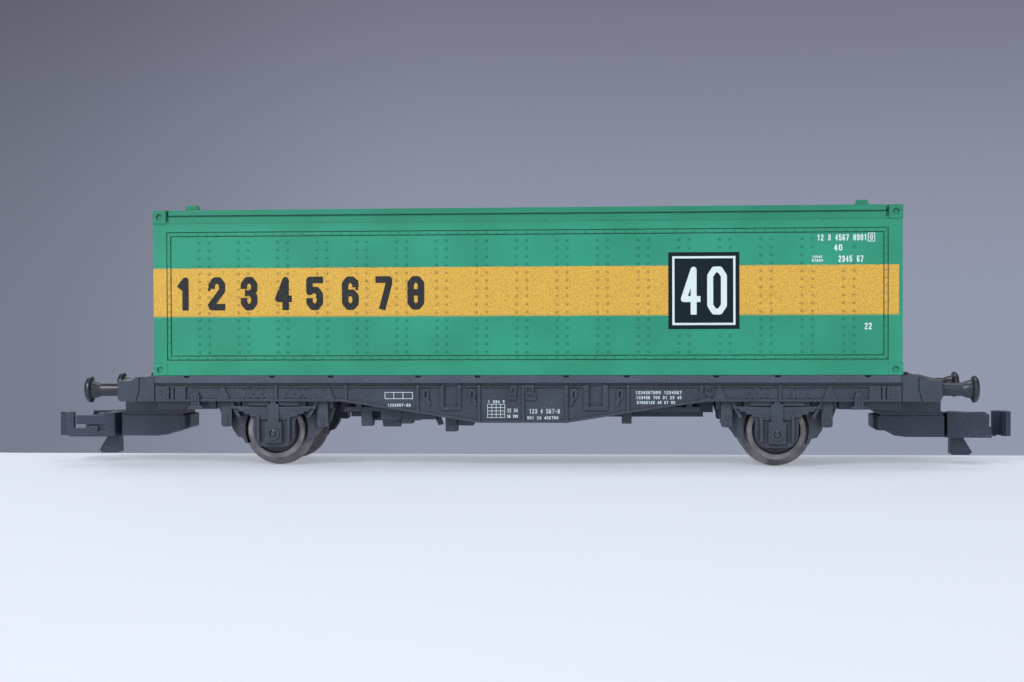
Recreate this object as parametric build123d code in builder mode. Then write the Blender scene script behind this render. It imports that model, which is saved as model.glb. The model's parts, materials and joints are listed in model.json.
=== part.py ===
from build123d import *
import os

os.makedirs("parts", exist_ok=True)

# Two-axle container flat wagon in 1:160 with a removable 40 ft box.
# Frame: +X along the track, +Y across it, +Z up. The origin lies midway between
# the couplers, level with the lowest point of the wheel flanges.
# The wagon looks the same after half a turn about Z, so end b is end a turned.

# ---- wheels and track -----------------------------------------------------------
tread_diameter = 6.1
tread_width = 1.5
flange_depth = 0.7
flange_width = 0.68
back_to_back = 7.44
axle_diameter = 1.5
journal_diameter = 0.9
bush_wall = 0.3
running_gap = 0.05
seat_gap = 0.01

# ---- container ------------------------------------------------------------------
container_length = 76.2
container_width = 15.24
container_height = 17.0
container_wall = 0.9
post_width = 1.45
casting_top = 1.38
casting_bottom = 1.16
eye_radius = 0.33
eye_depth = 0.2
top_rail = 0.78
bottom_rail = 1.17
end_recess = 0.05
wall_recess = 0.08
top_casting_recess = 0.12
top_rail_recess = 0.22
bottom_rail_rise = 0.04
panel_recess = 0.17
strip_width = 0.32
strip_rise = 0.03
end_strip_rise = 0.06
strip_inset = 0.46
strip_drop = 0.92
groove_width = 0.1
groove_depth = 0.12
lid_thickness = 0.55
lid_gap = 0.33
lid_rim = 0.8
door_recess = 0.42
lock_rod = 0.3
lug_x_inset = 4.0
load_floor = 0.8
load_gap = 0.04
peg_diameter = 1.8
peg_length = 0.75
peg_inset_x = 5.0
peg_inset_y = 2.6

# ---- frame ----------------------------------------------------------------------
deck_end_gap = 0.2
deck_thickness = 0.96
deck_rebate = 0.24
rebate_depth = 0.4
sill_depth = 1.68
sill_web = 0.7
sill_flange = 0.25
sill_flange_height = 0.2
headstock_depth = 4.04
headstock_drop = 0.5
belly_depth = 2.17
belly_flat = 9.0
belly_knee = 21.2
belly_knee_depth = 1.2
belly_wheel_gap = 7.07
floor_thickness = 0.7
floor_rise = 0.15
spine_width = 6.0
spine_depth = 1.85
weight_gap = 0.08
axle_inset = 16.27

# ---- axle guards ----------------------------------------------------------------
guard_length = 12.1
guard_plate = 0.95
guard_wall = 0.8
guard_width = 4.3
guard_drop = 1.7
box_drop = 0.35
spring_leaf = 0.24
spring_leaves = 5
spring_length = 8.8
shoe_gap = 0.25
shoe_width = 1.15

# ---- buffers --------------------------------------------------------------------
buffer_spacing = 10.94
buffer_length = 3.9
buffer_height = 7.2
buffer_head = 2.7
buffer_shank = 1.36
buffer_tail = 1.8

# ---- couplers -------------------------------------------------------------------
coupler_height = 3.45
box_width = 5.2
box_wall = 0.6
box_length = 7.1
box_projection = 1.04
box_height = 2.6
cover_thickness = 0.42
shank_width = 1.4
shank_height = 1.0
tail_side_gap = 0.25
tail_length = 0.8
pivot_inset = 2.98
spring_wire = 0.18
spring_coil = 1.1
spring_turns = 7

# ---- levels ---------------------------------------------------------------------
rail_top = flange_depth
tread_radius = tread_diameter / 2
flange_radius = tread_radius + flange_depth
axle_z = rail_top + tread_radius
sill_bottom = axle_z + flange_radius - 0.75
sill_top = sill_bottom + sill_depth
deck_top = sill_top + deck_thickness
floor_bottom = sill_bottom + floor_rise
floor_top = floor_bottom + floor_thickness
guard_top = sill_bottom - running_gap
guard_plate_bottom = floor_bottom - guard_plate
container_bottom = deck_top + load_gap
container_top = container_bottom + container_height
lid_bottom = container_top - lid_thickness
coupler_z = rail_top + coupler_height
box_bottom = coupler_z - 1.3
box_top = box_bottom + box_height

# ---- lengths and widths ---------------------------------------------------------
half_length = container_length / 2
half_width = container_width / 2
deck_half = half_length - deck_end_gap
headstock_face = deck_half + headstock_depth
axle_x = headstock_face - axle_inset
belly_start = axle_x - belly_wheel_gap
peg_x = half_length - peg_inset_x
peg_y = half_width - peg_inset_y
wheel_back = back_to_back / 2
wheel_face = wheel_back + flange_width + tread_width
guard_inner = wheel_face + 0.25
guard_outer = guard_inner + guard_wall
base_side = guard_inner + 0.25
sill_outer = max(half_width - 0.17, base_side + 0.1 + sill_web + sill_flange)
sill_face = sill_outer - sill_flange
sill_inner = sill_face - sill_web
deck_side = sill_outer + 0.15
bush_radius = axle_diameter / 2 + bush_wall
box_front = headstock_face + box_projection
box_rear = box_front - box_length
pivot_x = box_front - pivot_inset
tail_width = box_width - 2 * box_wall - 2 * tail_side_gap
slot_half = flange_radius + 0.3
slot_inner = wheel_back - 0.4


def keep(builder, name):
    """Label a finished piece and write it to its own file."""
    builder.part.label = name
    export_step(builder.part, f"parts/{name}.step")


def block(x_range, y_range, z_range, mode=Mode.ADD):
    """A box between two X, two Y and two Z limits."""
    size = [high - low for low, high in (x_range, y_range, z_range)]
    centre = [(high + low) / 2 for low, high in (x_range, y_range, z_range)]
    with Locations(tuple(centre)):
        Box(*size, mode=mode)


def on_both(limits):
    """The same span on the positive side and on the negative side."""
    low, high = limits
    return ((low, high), (-high, -low))


# ---- container shell ------------------------------------------------------------
# Four walls: flat sides with a riveted frame between two grooves and a sunk top rail,
# a plain end and a door end with sunk panels, and eight corner castings.
side_face = half_width - wall_recess
panel_end = half_length - panel_recess
door_face = half_length - door_recess
panel_low = container_bottom + bottom_rail
panel_high = lid_bottom - 0.1 - top_rail
inner_x = half_length - door_recess - container_wall
inner_y = half_width - panel_recess - container_wall
casting_depth = half_width - inner_y
strip_low = panel_low + strip_inset
strip_high = panel_high - strip_drop
strip_x = half_length - post_width - 0.09
strip_y = half_width - post_width - 0.05


def ring_of_strips(plane, half_span, margin, rise, mode=Mode.ADD):
    """The riveted frame's outline on a wall, wider by a margin, raised from it or cut in."""
    with BuildSketch(plane) as strips:
        with Locations((0, (strip_low + strip_high) / 2)):
            height = strip_high - strip_low
            inner = strip_width + margin
            Rectangle(2 * (half_span + margin), height + 2 * margin)
            Rectangle(2 * (half_span - inner), height - 2 * inner, mode=Mode.SUBTRACT)
    extrude(strips.sketch, amount=rise, mode=mode)


with BuildPart() as container_shell:
    block((-half_length + end_recess, half_length - end_recess), (-side_face, side_face),
          (container_bottom, lid_bottom - 0.1))
    rail_x = half_length - post_width
    block((-rail_x, rail_x), (-side_face - bottom_rail_rise, side_face + bottom_rail_rise),
          (container_bottom, panel_low + 0.2))
    block((-inner_x, inner_x), (-inner_y, inner_y), (container_bottom, lid_bottom), Mode.SUBTRACT)
    # the top rails stand back, with a notch beside each casting
    for y_span in on_both((half_width - top_rail_recess, half_width)):
        block((-half_length, half_length), y_span, (panel_high, lid_bottom), Mode.SUBTRACT)
    for x_span in on_both((half_length - casting_top - lid_gap, half_length - casting_top)):
        for y_span in on_both((half_width - top_rail_recess - 0.25, half_width)):
            block(x_span, y_span, (panel_high + 0.25, lid_bottom), Mode.SUBTRACT)
    # sunk panels on the plain end (-X) and the door end (+X)
    block((-half_length, -panel_end), (-half_width + post_width, half_width - post_width),
          (panel_low, panel_high), Mode.SUBTRACT)
    block((door_face, half_length), (-half_width + post_width, half_width - post_width),
          (panel_low, panel_high), Mode.SUBTRACT)
    # riveted frames: between two fine grooves on the sides, raised on the plain end
    for turn in (1, -1):
        side_plane = Plane(origin=(0, -turn * side_face, 0), x_dir=(turn, 0, 0), z_dir=(0, -turn, 0))
        ring_of_strips(side_plane, strip_x, groove_width, -groove_depth, Mode.SUBTRACT)
        ring_of_strips(side_plane.offset(-groove_depth), strip_x, 0, groove_depth + strip_rise)
    end_plane = Plane(origin=(-panel_end, 0, 0), x_dir=(0, -1, 0), z_dir=(-1, 0, 0))
    ring_of_strips(end_plane, strip_y, 0, end_strip_rise)
    with BuildSketch(end_plane):
        with Locations((0, (strip_low + strip_high) / 2)):
            with GridLocations(2.6, 1, 4, 1):
                Rectangle(strip_width, strip_high - strip_low - 2 * strip_width)
    extrude(amount=end_strip_rise)
    # two door leaves with their sunk fields, four lock rods with keepers, and hinges
    leaf = half_width - post_width - 0.12
    door_mid = (panel_low + panel_high) / 2
    door_height = panel_high - panel_low
    with BuildSketch(Plane.YZ.offset(door_face)):
        for side in (1, -1):
            with Locations((side * (leaf / 2 + 0.04), door_mid)):
                Rectangle(leaf - 0.08, door_height - 0.16)
                with GridLocations(1, (door_height - 0.5) / 3, 1, 3):
                    Rectangle(leaf - 0.9, (door_height - 0.5) / 3 - 0.45, mode=Mode.SUBTRACT)
    extrude(amount=0.12)
    rod_x = door_face + 0.12 + lock_rod / 2 - 0.03
    for rod_y in (-0.78 * leaf, -0.24 * leaf, 0.24 * leaf, 0.78 * leaf):
        with BuildSketch(Plane.XY.offset(panel_low + 0.05)):
            with Locations((rod_x, rod_y)):
                Circle(lock_rod / 2)
        extrude(amount=door_height - 0.1)
        for keeper_z in (panel_low + 0.35, door_mid - 2.4, door_mid + 2.4, panel_high - 0.35):
            block((door_face, rod_x + 0.02), (rod_y - 0.3, rod_y + 0.3),
                  (keeper_z - 0.16, keeper_z + 0.16))
    for handle_y in (-0.51 * leaf, 0.51 * leaf):
        block((door_face, rod_x + 0.06), (handle_y - 0.27 * leaf, handle_y + 0.27 * leaf),
              (door_mid - 2.95, door_mid - 2.75))
    for hinge_y in on_both((leaf - 0.35, leaf + 0.12)):
        for hinge_z in (panel_low + 1.2, door_mid - 2.0, door_mid + 2.0, panel_high - 1.2):
            block((door_face, half_length - 0.12), hinge_y, (hinge_z - 0.2, hinge_z + 0.2))
    # corner castings with a sunk eye in the side, in the end and in the free face
    for x_end in (1, -1):
        for y_side in (1, -1):
            for low, high, width, face in (
                (container_bottom, container_bottom + casting_bottom, post_width, half_width),
                (container_top - casting_top, container_top, casting_top, half_width - top_casting_recess),
            ):
                centre_x = x_end * (half_length - width / 2)
                centre_y = y_side * (face + inner_y) / 2
                centre_z = (low + high) / 2
                with Locations((centre_x, centre_y, centre_z)):
                    Box(width, face - inner_y, high - low)
                free_face = high if high > door_mid else low
                with Locations(Location((centre_x, y_side * face, centre_z), (90, 0, 0)),
                               Location((x_end * half_length, centre_y, centre_z), (0, 90, 0)),
                               Location((centre_x, centre_y, free_face))):
                    Cylinder(eye_radius, 2 * eye_depth, mode=Mode.SUBTRACT)
keep(container_shell, "container_shell")

# ---- container roof -------------------------------------------------------------
# A lid between the top castings, with a rim inside the walls and four corner lugs.
lid_x = half_length - casting_top - lid_gap
lid_y = half_width - casting_depth - lid_gap
with BuildPart() as container_roof:
    block((-lid_x, lid_x), (-half_width, half_width), (lid_bottom, container_top))
    block((-half_length + 0.05, half_length - 0.05), (-lid_y, lid_y), (lid_bottom, container_top))
    # the neck that leaves the dark groove under the lid, and the rim inside the walls
    neck_x = inner_x + container_wall - 0.1
    neck_y = inner_y + container_wall - 0.1
    block((-lid_x, lid_x), (-neck_y, neck_y), (lid_bottom - 0.1, lid_bottom))
    block((-neck_x, neck_x), (-lid_y, lid_y), (lid_bottom - 0.1, lid_bottom))
    rim_x = inner_x - running_gap
    rim_y = inner_y - running_gap
    rim_span = (lid_bottom - 0.1 - lid_rim, lid_bottom - 0.1)
    block((-rim_x, rim_x), (-rim_y, rim_y), rim_span)
    block((-rim_x + 0.7, rim_x - 0.7), (-rim_y + 0.7, rim_y - 0.7), rim_span, Mode.SUBTRACT)
    lug_x = half_length - lug_x_inset
    for lug_y in (half_width - 1.0, -half_width + 1.0):
        for side in (1, -1):
            with BuildSketch(Plane.XZ.offset(-lug_y)):
                with Locations((side * lug_x, container_top)):
                    Trapezoid(1.4, 0.5, 68, align=(Align.CENTER, Align.MIN))
            extrude(amount=0.45, both=True)
keep(container_roof, "container_roof")

# ---- container floor ------------------------------------------------------------
# A plate inside the walls whose four pegs drop into the deck.
with BuildPart() as container_floor:
    floor_x = inner_x - seat_gap
    floor_y = inner_y - seat_gap
    block((-floor_x, floor_x), (-floor_y, floor_y),
          (container_bottom, container_bottom + load_floor))
    with BuildSketch(Plane.XY.offset(container_bottom)):
        with GridLocations(2 * peg_x, 2 * peg_y, 2, 2):
            Circle(peg_diameter / 2)
    extrude(amount=-peg_length)
    chamfer(container_floor.faces().sort_by(Axis.Z)[:4].edges(), 0.2)
    rib_pitch = 0.3 * floor_x
    for number in range(6):
        x = (number - 2.5) * rib_pitch
        for y_span in on_both((0.4, floor_y - 0.94)):
            block((x - 0.3, x + 0.3), y_span,
                  (container_bottom + load_floor, container_bottom + load_floor + 0.6))
keep(container_floor, "container_floor")

# ---- deck -----------------------------------------------------------------------
# The loading plate: edge notches, sunk fields between cross members, peg holes.
notch_x = (4.5, 10.6, 19.6, 25.7, 34.6)
notch_stops = [stop for stop in notch_x if stop < deck_half - 1]
with BuildPart() as deck:
    block((-deck_half, deck_half), (-deck_side, deck_side), (sill_top, deck_top))
    for y_span in on_both((deck_side - rebate_depth, deck_side)):
        block((-deck_half, deck_half), y_span, (sill_top, sill_top + deck_rebate), Mode.SUBTRACT)
    for stop in notch_stops:
        for x_span in on_both((stop - 0.28, stop + 0.28)):
            for y_span in on_both((deck_side - 0.35, deck_side)):
                block(x_span, y_span, (deck_top - 0.2, deck_top), Mode.SUBTRACT)
    field_pitch = (2 * deck_half - 1.6) / 12
    with BuildSketch(Plane.XY.offset(deck_top)):
        with GridLocations(field_pitch, deck_side * 0.92, 12, 2):
            RectangleRounded(field_pitch - 1.1, deck_side * 0.78, 0.3)
        with GridLocations(2 * peg_x, 2 * peg_y, 2, 2):
            Circle(peg_diameter / 2 + 0.9, mode=Mode.SUBTRACT)
    extrude(amount=-0.3, mode=Mode.SUBTRACT)
    with BuildSketch(Plane.XY.offset(deck_top)):
        with GridLocations(2 * peg_x, 2 * peg_y, 2, 2):
            Circle(peg_diameter / 2 + 2 * running_gap)
    extrude(amount=-deck_thickness, mode=Mode.SUBTRACT)
    # locating ribs that sit just inside the side sills
    rib_x = peg_x - 4.0
    for y_span in on_both((sill_inner - 0.5, sill_inner - 0.06)):
        block((-rib_x, rib_x), y_span, (sill_top - 0.55, sill_top))
keep(deck, "deck")

# ---- ballast weight -------------------------------------------------------------
# A steel strip lying in the tray between the floor and the deck.
with BuildPart() as ballast_weight:
    weight_y = sill_inner - 0.5 - 0.2
    block((-axle_x - 4.0, axle_x + 4.0), (-weight_y, weight_y),
          (floor_top + seat_gap, sill_top - weight_gap))
    chamfer(ballast_weight.edges().filter_by(Axis.Z), 0.5)
keep(ballast_weight, "ballast_weight")

# ---- side sill ------------------------------------------------------------------
# Fish-bellied beam with top and bottom flanges, ribs, sockets, hooks and steps.
belly_bottom = sill_bottom - belly_depth
knee_bottom = sill_bottom - belly_knee_depth
web_front = -sill_face + 0.1


def sill_outline():
    """Draw the beam's outline, bellied between the wheels."""
    with BuildLine() as outline:
        Polyline(
            (-deck_half, sill_top), (-deck_half, sill_bottom), (-belly_start, sill_bottom),
            (-belly_knee / 2, knee_bottom), (-belly_flat / 2, belly_bottom),
            (belly_flat / 2, belly_bottom), (belly_knee / 2, knee_bottom),
            (belly_start, sill_bottom), (deck_half, sill_bottom), (deck_half, sill_top),
            close=True,
        )
    make_face(outline.edges())


def belly_level(x):
    """Height of the beam's lower edge at a place along it."""
    place = abs(x)
    if place >= belly_start:
        return sill_bottom
    if place <= belly_flat / 2:
        return belly_bottom
    if place >= belly_knee / 2:
        share = (place - belly_knee / 2) / (belly_start - belly_knee / 2)
        return knee_bottom + share * (sill_bottom - knee_bottom)
    share = (place - belly_flat / 2) / (belly_knee / 2 - belly_flat / 2)
    return belly_bottom + share * (knee_bottom - belly_bottom)


with BuildPart() as near_sill:
    with BuildSketch(Plane.XZ.offset(sill_inner)):
        sill_outline()
    extrude(amount=sill_web)
    with BuildSketch(Plane.XZ.offset(sill_face)):
        sill_outline()
        offset(amount=-sill_flange_height, kind=Kind.INTERSECTION, mode=Mode.SUBTRACT)
    extrude(amount=sill_flange - 0.03)
    # the shadow groove under the deck's edge
    block((-deck_half, deck_half), (-sill_outer - 0.1, -sill_face), (sill_top - 0.14, sill_top + 0.1),
          Mode.SUBTRACT)
    # upright ribs across the web
    rib_top = sill_top - 0.02
    for rib in (-10.7, -4.4, 0.1, 4.5, 10.75, 18.1, -18.1):
        block((rib - 0.12, rib + 0.12), (-sill_face - 0.2, web_front), (belly_level(rib) + 0.05, rib_top))
    # two sunk fields, open at the top, in raised frames
    for x_low, x_high, rim in ((-8.33, -6.26, 0.3), (6.26, 8.68, 0.48)):
        block((x_low, x_high), (-sill_face - 0.2, web_front), (sill_top - 2.55, rib_top))
        block((x_low + rim, x_high - rim), (-sill_outer, -sill_face + 0.1),
              (sill_top - 2.2, sill_top), Mode.SUBTRACT)
    # stepped sockets for stakes: a narrow head over a wider cup
    for x_low, x_high, lean in ((-1.43, -0.6, 1), (0.3, 1.43, -1), (18.3, 19.0, 1)):
        block((x_low, x_high), (-sill_outer + 0.05, web_front), (sill_top - 1.5, sill_top - 0.85))
        head_low = x_low + 0.25 if lean > 0 else x_low
        head_high = x_high if lean > 0 else x_high - 0.25
        block((head_low, head_high), (-sill_outer + 0.02, web_front), (sill_top - 0.9, rib_top))
        block((head_low + 0.15, head_high - 0.15), (-sill_outer - 0.1, -sill_outer + 0.17),
              (sill_top - 0.75, sill_top - 0.3), Mode.SUBTRACT)
        block((x_low + 0.15, x_high - 0.15), (-sill_outer - 0.1, -sill_outer + 0.17),
              (sill_top - 1.38, sill_top - 0.98), Mode.SUBTRACT)
    # rope cleats: an eye with a slanted tail
    for x, lean in ((-9.85, 1), (-5.1, 1), (5.25, -1), (9.9, -1)):
        with BuildSketch(Plane.XZ.offset(sill_face - 0.1)):
            with Locations((x, sill_top - 0.97)):
                SlotOverall(1.05, 0.66, rotation=90)
            with Locations((x + lean * 0.22, sill_top - 1.7)):
                Rectangle(0.3, 0.75, rotation=lean * 24)
            with Locations((x, sill_top - 0.97)):
                SlotOverall(0.66, 0.27, rotation=90, mode=Mode.SUBTRACT)
        extrude(amount=0.1 + sill_flange - 0.02)
    # triangular brackets on either side of each wheel
    for x in (axle_x - 5.75, axle_x + 5.2):
        for place in (x, -x):
            with BuildSketch(Plane.XZ.offset(sill_face)):
                with Locations((place, sill_bottom + 0.1)):
                    Trapezoid(1.4, 1.3, 68, align=(Align.CENTER, Align.MIN))
            extrude(amount=sill_flange - 0.02)
    # centre stiffener over each axle
    for x in (axle_x, -axle_x):
        block((x + 0.2, x + 0.42), (-sill_outer + 0.02, web_front), (sill_bottom, rib_top))
    # end panels: a riveted plate, a narrow post and a plain plate, parted by grooves
    for low_inset, high_inset in ((1.35, 0.2), (1.83, 1.54), (3.1, 1.98)):
        for x_span in on_both((deck_half - low_inset, deck_half - high_inset)):
            block(x_span, (-sill_outer, web_front), (sill_bottom + 0.02, sill_top - 0.14))
    # steps under the ends, ribbed up the middle
    step_x = deck_half - 4.15
    for x in (step_x, -step_x):
        block((x - 0.42, x + 0.42), (-half_width + 0.05, web_front), (sill_bottom - 0.8, sill_bottom + 0.65))
        block((x - 0.3, x + 0.3), (-half_width + 0.05, web_front), (sill_bottom, sill_bottom + 0.9))
        for groove in (-0.16, 0.16):
            block((x + groove - 0.04, x + groove + 0.04), (-half_width - 0.1, -half_width + 0.13),
                  (sill_bottom - 0.5, sill_bottom + 0.6), Mode.SUBTRACT)
        block((x - 0.74, x + 0.74), (-half_width + 0.02, -half_width + 0.4),
              (sill_bottom - 0.8, sill_bottom - 0.5))

# ---- underframe -----------------------------------------------------------------
# One moulding: both sills, floor with wheel wells, spine, end floors, headstocks
# and the blocks that carry the coupler boxes.
headstock_low = sill_bottom
headstock_high = deck_top - headstock_drop
guard_end = guard_length / 2
nose = 0.4
with BuildPart() as underframe:
    add(near_sill.part)
    add(near_sill.part, rotation=(0, 0, 180))
    block((-deck_half, deck_half), (-sill_inner - 0.1, sill_inner + 0.1), (floor_bottom, floor_top))
    spine_half = axle_x - guard_end - 0.2
    block((-spine_half, spine_half), (-spine_width / 2, spine_width / 2),
          (floor_bottom - spine_depth + 0.35, floor_bottom))
    block((-spine_half + 1.0, spine_half - 1.0), (-spine_width / 2 + 0.6, spine_width / 2 - 0.6),
          (floor_bottom - spine_depth - 0.15, floor_bottom))
    for cross in (-1, -0.5, 0, 0.5, 1):
        x = cross * (spine_half - 2.5)
        block((x - 0.3, x + 0.3), (-sill_inner - 0.1, sill_inner + 0.1),
              (floor_bottom - 0.75, floor_bottom))
    end_floor = axle_x + guard_end + 0.2
    for x_span in on_both((end_floor, deck_half + 0.2)):
        block(x_span, (-sill_inner + 0.3, sill_inner - 0.3), (sill_bottom - 0.85, floor_bottom))
    for x_span in on_both((box_rear, box_front - 0.35)):
        block(x_span, (-box_width / 2, box_width / 2), (box_top, floor_bottom + 0.1))
    # headstocks with rounded lower edge, sloping to the deck, and container stops
    for turn in (1, -1):
        with BuildSketch(Plane.XZ.offset(-sill_outer)):
            with BuildLine():
                base = Line((turn * deck_half, headstock_low),
                            (turn * (headstock_face - nose), headstock_low))
                bend = 0.293 * nose
                corner = ThreePointArc(base @ 1, (turn * (headstock_face - bend), headstock_low + bend),
                                       (turn * headstock_face, headstock_low + nose))
                Polyline(
                    corner @ 1, (turn * headstock_face, headstock_high),
                    (turn * (headstock_face - 1.4), headstock_high),
                    (turn * (headstock_face - 1.95), headstock_high + 0.38),
                    (turn * (deck_half + 0.35), deck_top - 0.02),
                    (turn * deck_half, deck_top - 0.02), base @ 0,
                )
            make_face()
        extrude(amount=2 * sill_outer)
    for x_span in on_both((deck_half + 0.4, deck_half + 0.85)):
        for y_span in on_both((half_width - 2.6, half_width - 1.4)):
            block(x_span, y_span, (deck_top - 0.3, deck_top + 0.27))
    # a bent groove in each headstock's cheek, and an upright one where the sill begins
    seam_x = headstock_face - 2.35
    for y_span in on_both((sill_outer - 0.14, sill_outer + 0.1)):
        for turn in (1, -1):
            with BuildSketch(Plane.XZ.offset(-y_span[1])):
                with BuildLine():
                    Polyline((turn * seam_x, deck_top), (turn * (seam_x + 0.12), deck_top),
                             (turn * (seam_x + 0.14), sill_bottom + 1.2),
                             (turn * (seam_x + 0.5), sill_bottom - 0.1),
                             (turn * (seam_x + 0.36), sill_bottom - 0.1),
                             (turn * (seam_x + 0.01), sill_bottom + 1.2), close=True)
                make_face()
            extrude(amount=y_span[1] - y_span[0], mode=Mode.SUBTRACT)
        for x_span in on_both((deck_half, deck_half + 0.2)):
            block(x_span, y_span, (sill_bottom - 0.1, sill_top + deck_rebate), Mode.SUBTRACT)
    # wheel wells
    for x_span in on_both((axle_x - slot_half, axle_x + slot_half)):
        for y_span in on_both((slot_inner, sill_inner - 0.05)):
            block(x_span, y_span, (sill_bottom - 2, floor_top), Mode.SUBTRACT)
    # sockets for the buffers, the axle guards' pegs and the coupler covers' pegs
    for y in (buffer_spacing / 2, -buffer_spacing / 2):
        for x in (headstock_face - buffer_tail, -headstock_face + buffer_tail):
            reach = buffer_tail + 0.5 if x > 0 else -buffer_tail - 0.5
            with BuildSketch(Plane.YZ.offset(x - 0.05 * x / abs(x))):
                with Locations((y, rail_top + buffer_height)):
                    Circle(buffer_shank / 2 + seat_gap)
            extrude(amount=reach, mode=Mode.SUBTRACT)
    with BuildSketch(Plane.XY.offset(floor_bottom)):
        with Locations((axle_x - 3.5, 0), (axle_x + 3.5, 0), (-axle_x - 3.5, 0), (-axle_x + 3.5, 0)):
            Circle(0.8 + seat_gap)
    extrude(amount=floor_thickness, mode=Mode.SUBTRACT)
    cover_peg_x = (box_rear + headstock_face) / 2
    with BuildSketch(Plane.XY.offset(box_top)):
        with Locations((cover_peg_x, 0), (-cover_peg_x, 0)):
            Circle(0.8 + seat_gap)
    extrude(amount=0.9, mode=Mode.SUBTRACT)
keep(underframe, "underframe")

# ---- buffers --------------------------------------------------------------------
# Round head with a flat middle, flared sleeve, and a tail pressed into the headstock.
buffer_face = headstock_face + buffer_length
buffer_z = rail_top + buffer_height


def make_buffer(side):
    """A buffer at the +X end, on the side given by the sign."""
    with BuildPart() as buffer:
        with BuildSketch(Plane.XZ.offset(-side * buffer_spacing / 2)):
            with BuildLine():
                head = buffer_head / 2
                shank = buffer_shank / 2
                face = Line((buffer_face, buffer_z), (buffer_face, buffer_z + 0.62 * head))
                rim = ThreePointArc(face @ 1, (buffer_face - 0.1, buffer_z + 0.87 * head),
                                    (buffer_face - 0.34, buffer_z + head))
                back = Polyline(rim @ 1, (buffer_face - 0.56, buffer_z + head),
                                (buffer_face - 0.74, buffer_z + shank + 0.25))
                flare = ThreePointArc(back @ 1, (buffer_face - 1.1, buffer_z + shank + 0.18),
                                      (buffer_face - 1.6, buffer_z + shank))
                tail_end = headstock_face - buffer_tail
                Polyline(flare @ 1, (tail_end, buffer_z + shank), (tail_end, buffer_z), face @ 0)
            make_face()
        revolve(axis=Axis((buffer_face, side * buffer_spacing / 2, buffer_z), (1, 0, 0)))
        with Locations(Location((headstock_face + 0.18, side * buffer_spacing / 2, buffer_z), (0, 90, 0))):
            Cylinder(buffer_shank / 2 + 0.14, 0.36)
    return buffer


def half_turn(piece):
    """The same piece at the other end, after half a turn about Z."""
    with BuildPart() as turned:
        add(piece.part, rotation=(0, 0, 180))
    return turned


for side_name, side_sign in (("near", -1), ("far", 1)):
    buffer_a = make_buffer(side_sign)
    keep(buffer_a, f"buffer_a_{side_name}")
    other_side = "far" if side_name == "near" else "near"
    keep(half_turn(buffer_a), f"buffer_b_{other_side}")

# ---- axle guards ----------------------------------------------------------------
# Base plate with two side plates, axleboxes, leaf springs, hangers and brake shoes.
guard_bottom = axle_z - guard_drop
spring_top = guard_top - 0.32
shoe_inner = wheel_back + flange_width + 0.18


def guard_plate_outline():
    """Side plate, wide at the top and rounded at the bottom."""
    half = guard_width / 2
    with BuildLine() as outline:
        Polyline((-3.3, guard_top), (-3.3, guard_top - 0.5), (-half, guard_top - 1.9),
                 (-half, guard_bottom), (half, guard_bottom), (half, guard_top - 1.9),
                 (3.3, guard_top - 0.5), (3.3, guard_top), close=True)
    make_face(outline.edges())


def spring_leaf_outline(level, length):
    """One leaf, with its ends a little higher than its middle."""
    half = length / 2
    rise = 0.012 * length
    with BuildLine() as outline:
        lower = ThreePointArc((-half, level + rise), (0, level), (half, level + rise))
        tip = Line(lower @ 1, (half, level + rise + spring_leaf))
        upper = ThreePointArc(tip @ 1, (0, level + spring_leaf), (-half, level + rise + spring_leaf))
        Line(upper @ 1, lower @ 0)
    make_face(outline.edges())


def shoe_outline():
    """Brake shoe with its hanger, on the +X side of the wheel."""
    inner = tread_radius + shoe_gap
    up = guard_plate_bottom - axle_z
    top_x = (inner ** 2 - min(up, 0.8 * inner) ** 2) ** 0.5
    with BuildLine() as outline:
        heel = (inner * 0.9, -inner * (1 - 0.9 ** 2) ** 0.5)
        arc = ThreePointArc(heel, (inner, 0), (top_x, min(up, 0.8 * inner)))
        Polyline(arc @ 1, (top_x, up + 0.1), (guard_length / 2, up + 0.1), (inner + 2.3, 1.0),
                 (inner + 2.35, 0.72), (inner + 1.45, 0.5), (inner + 1.3, 0), (inner + 0.8, -0.75),
                 (inner + 0.25, -0.9), (inner + 0.02, -1.4), heel)
    make_face(outline.edges())


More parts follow.
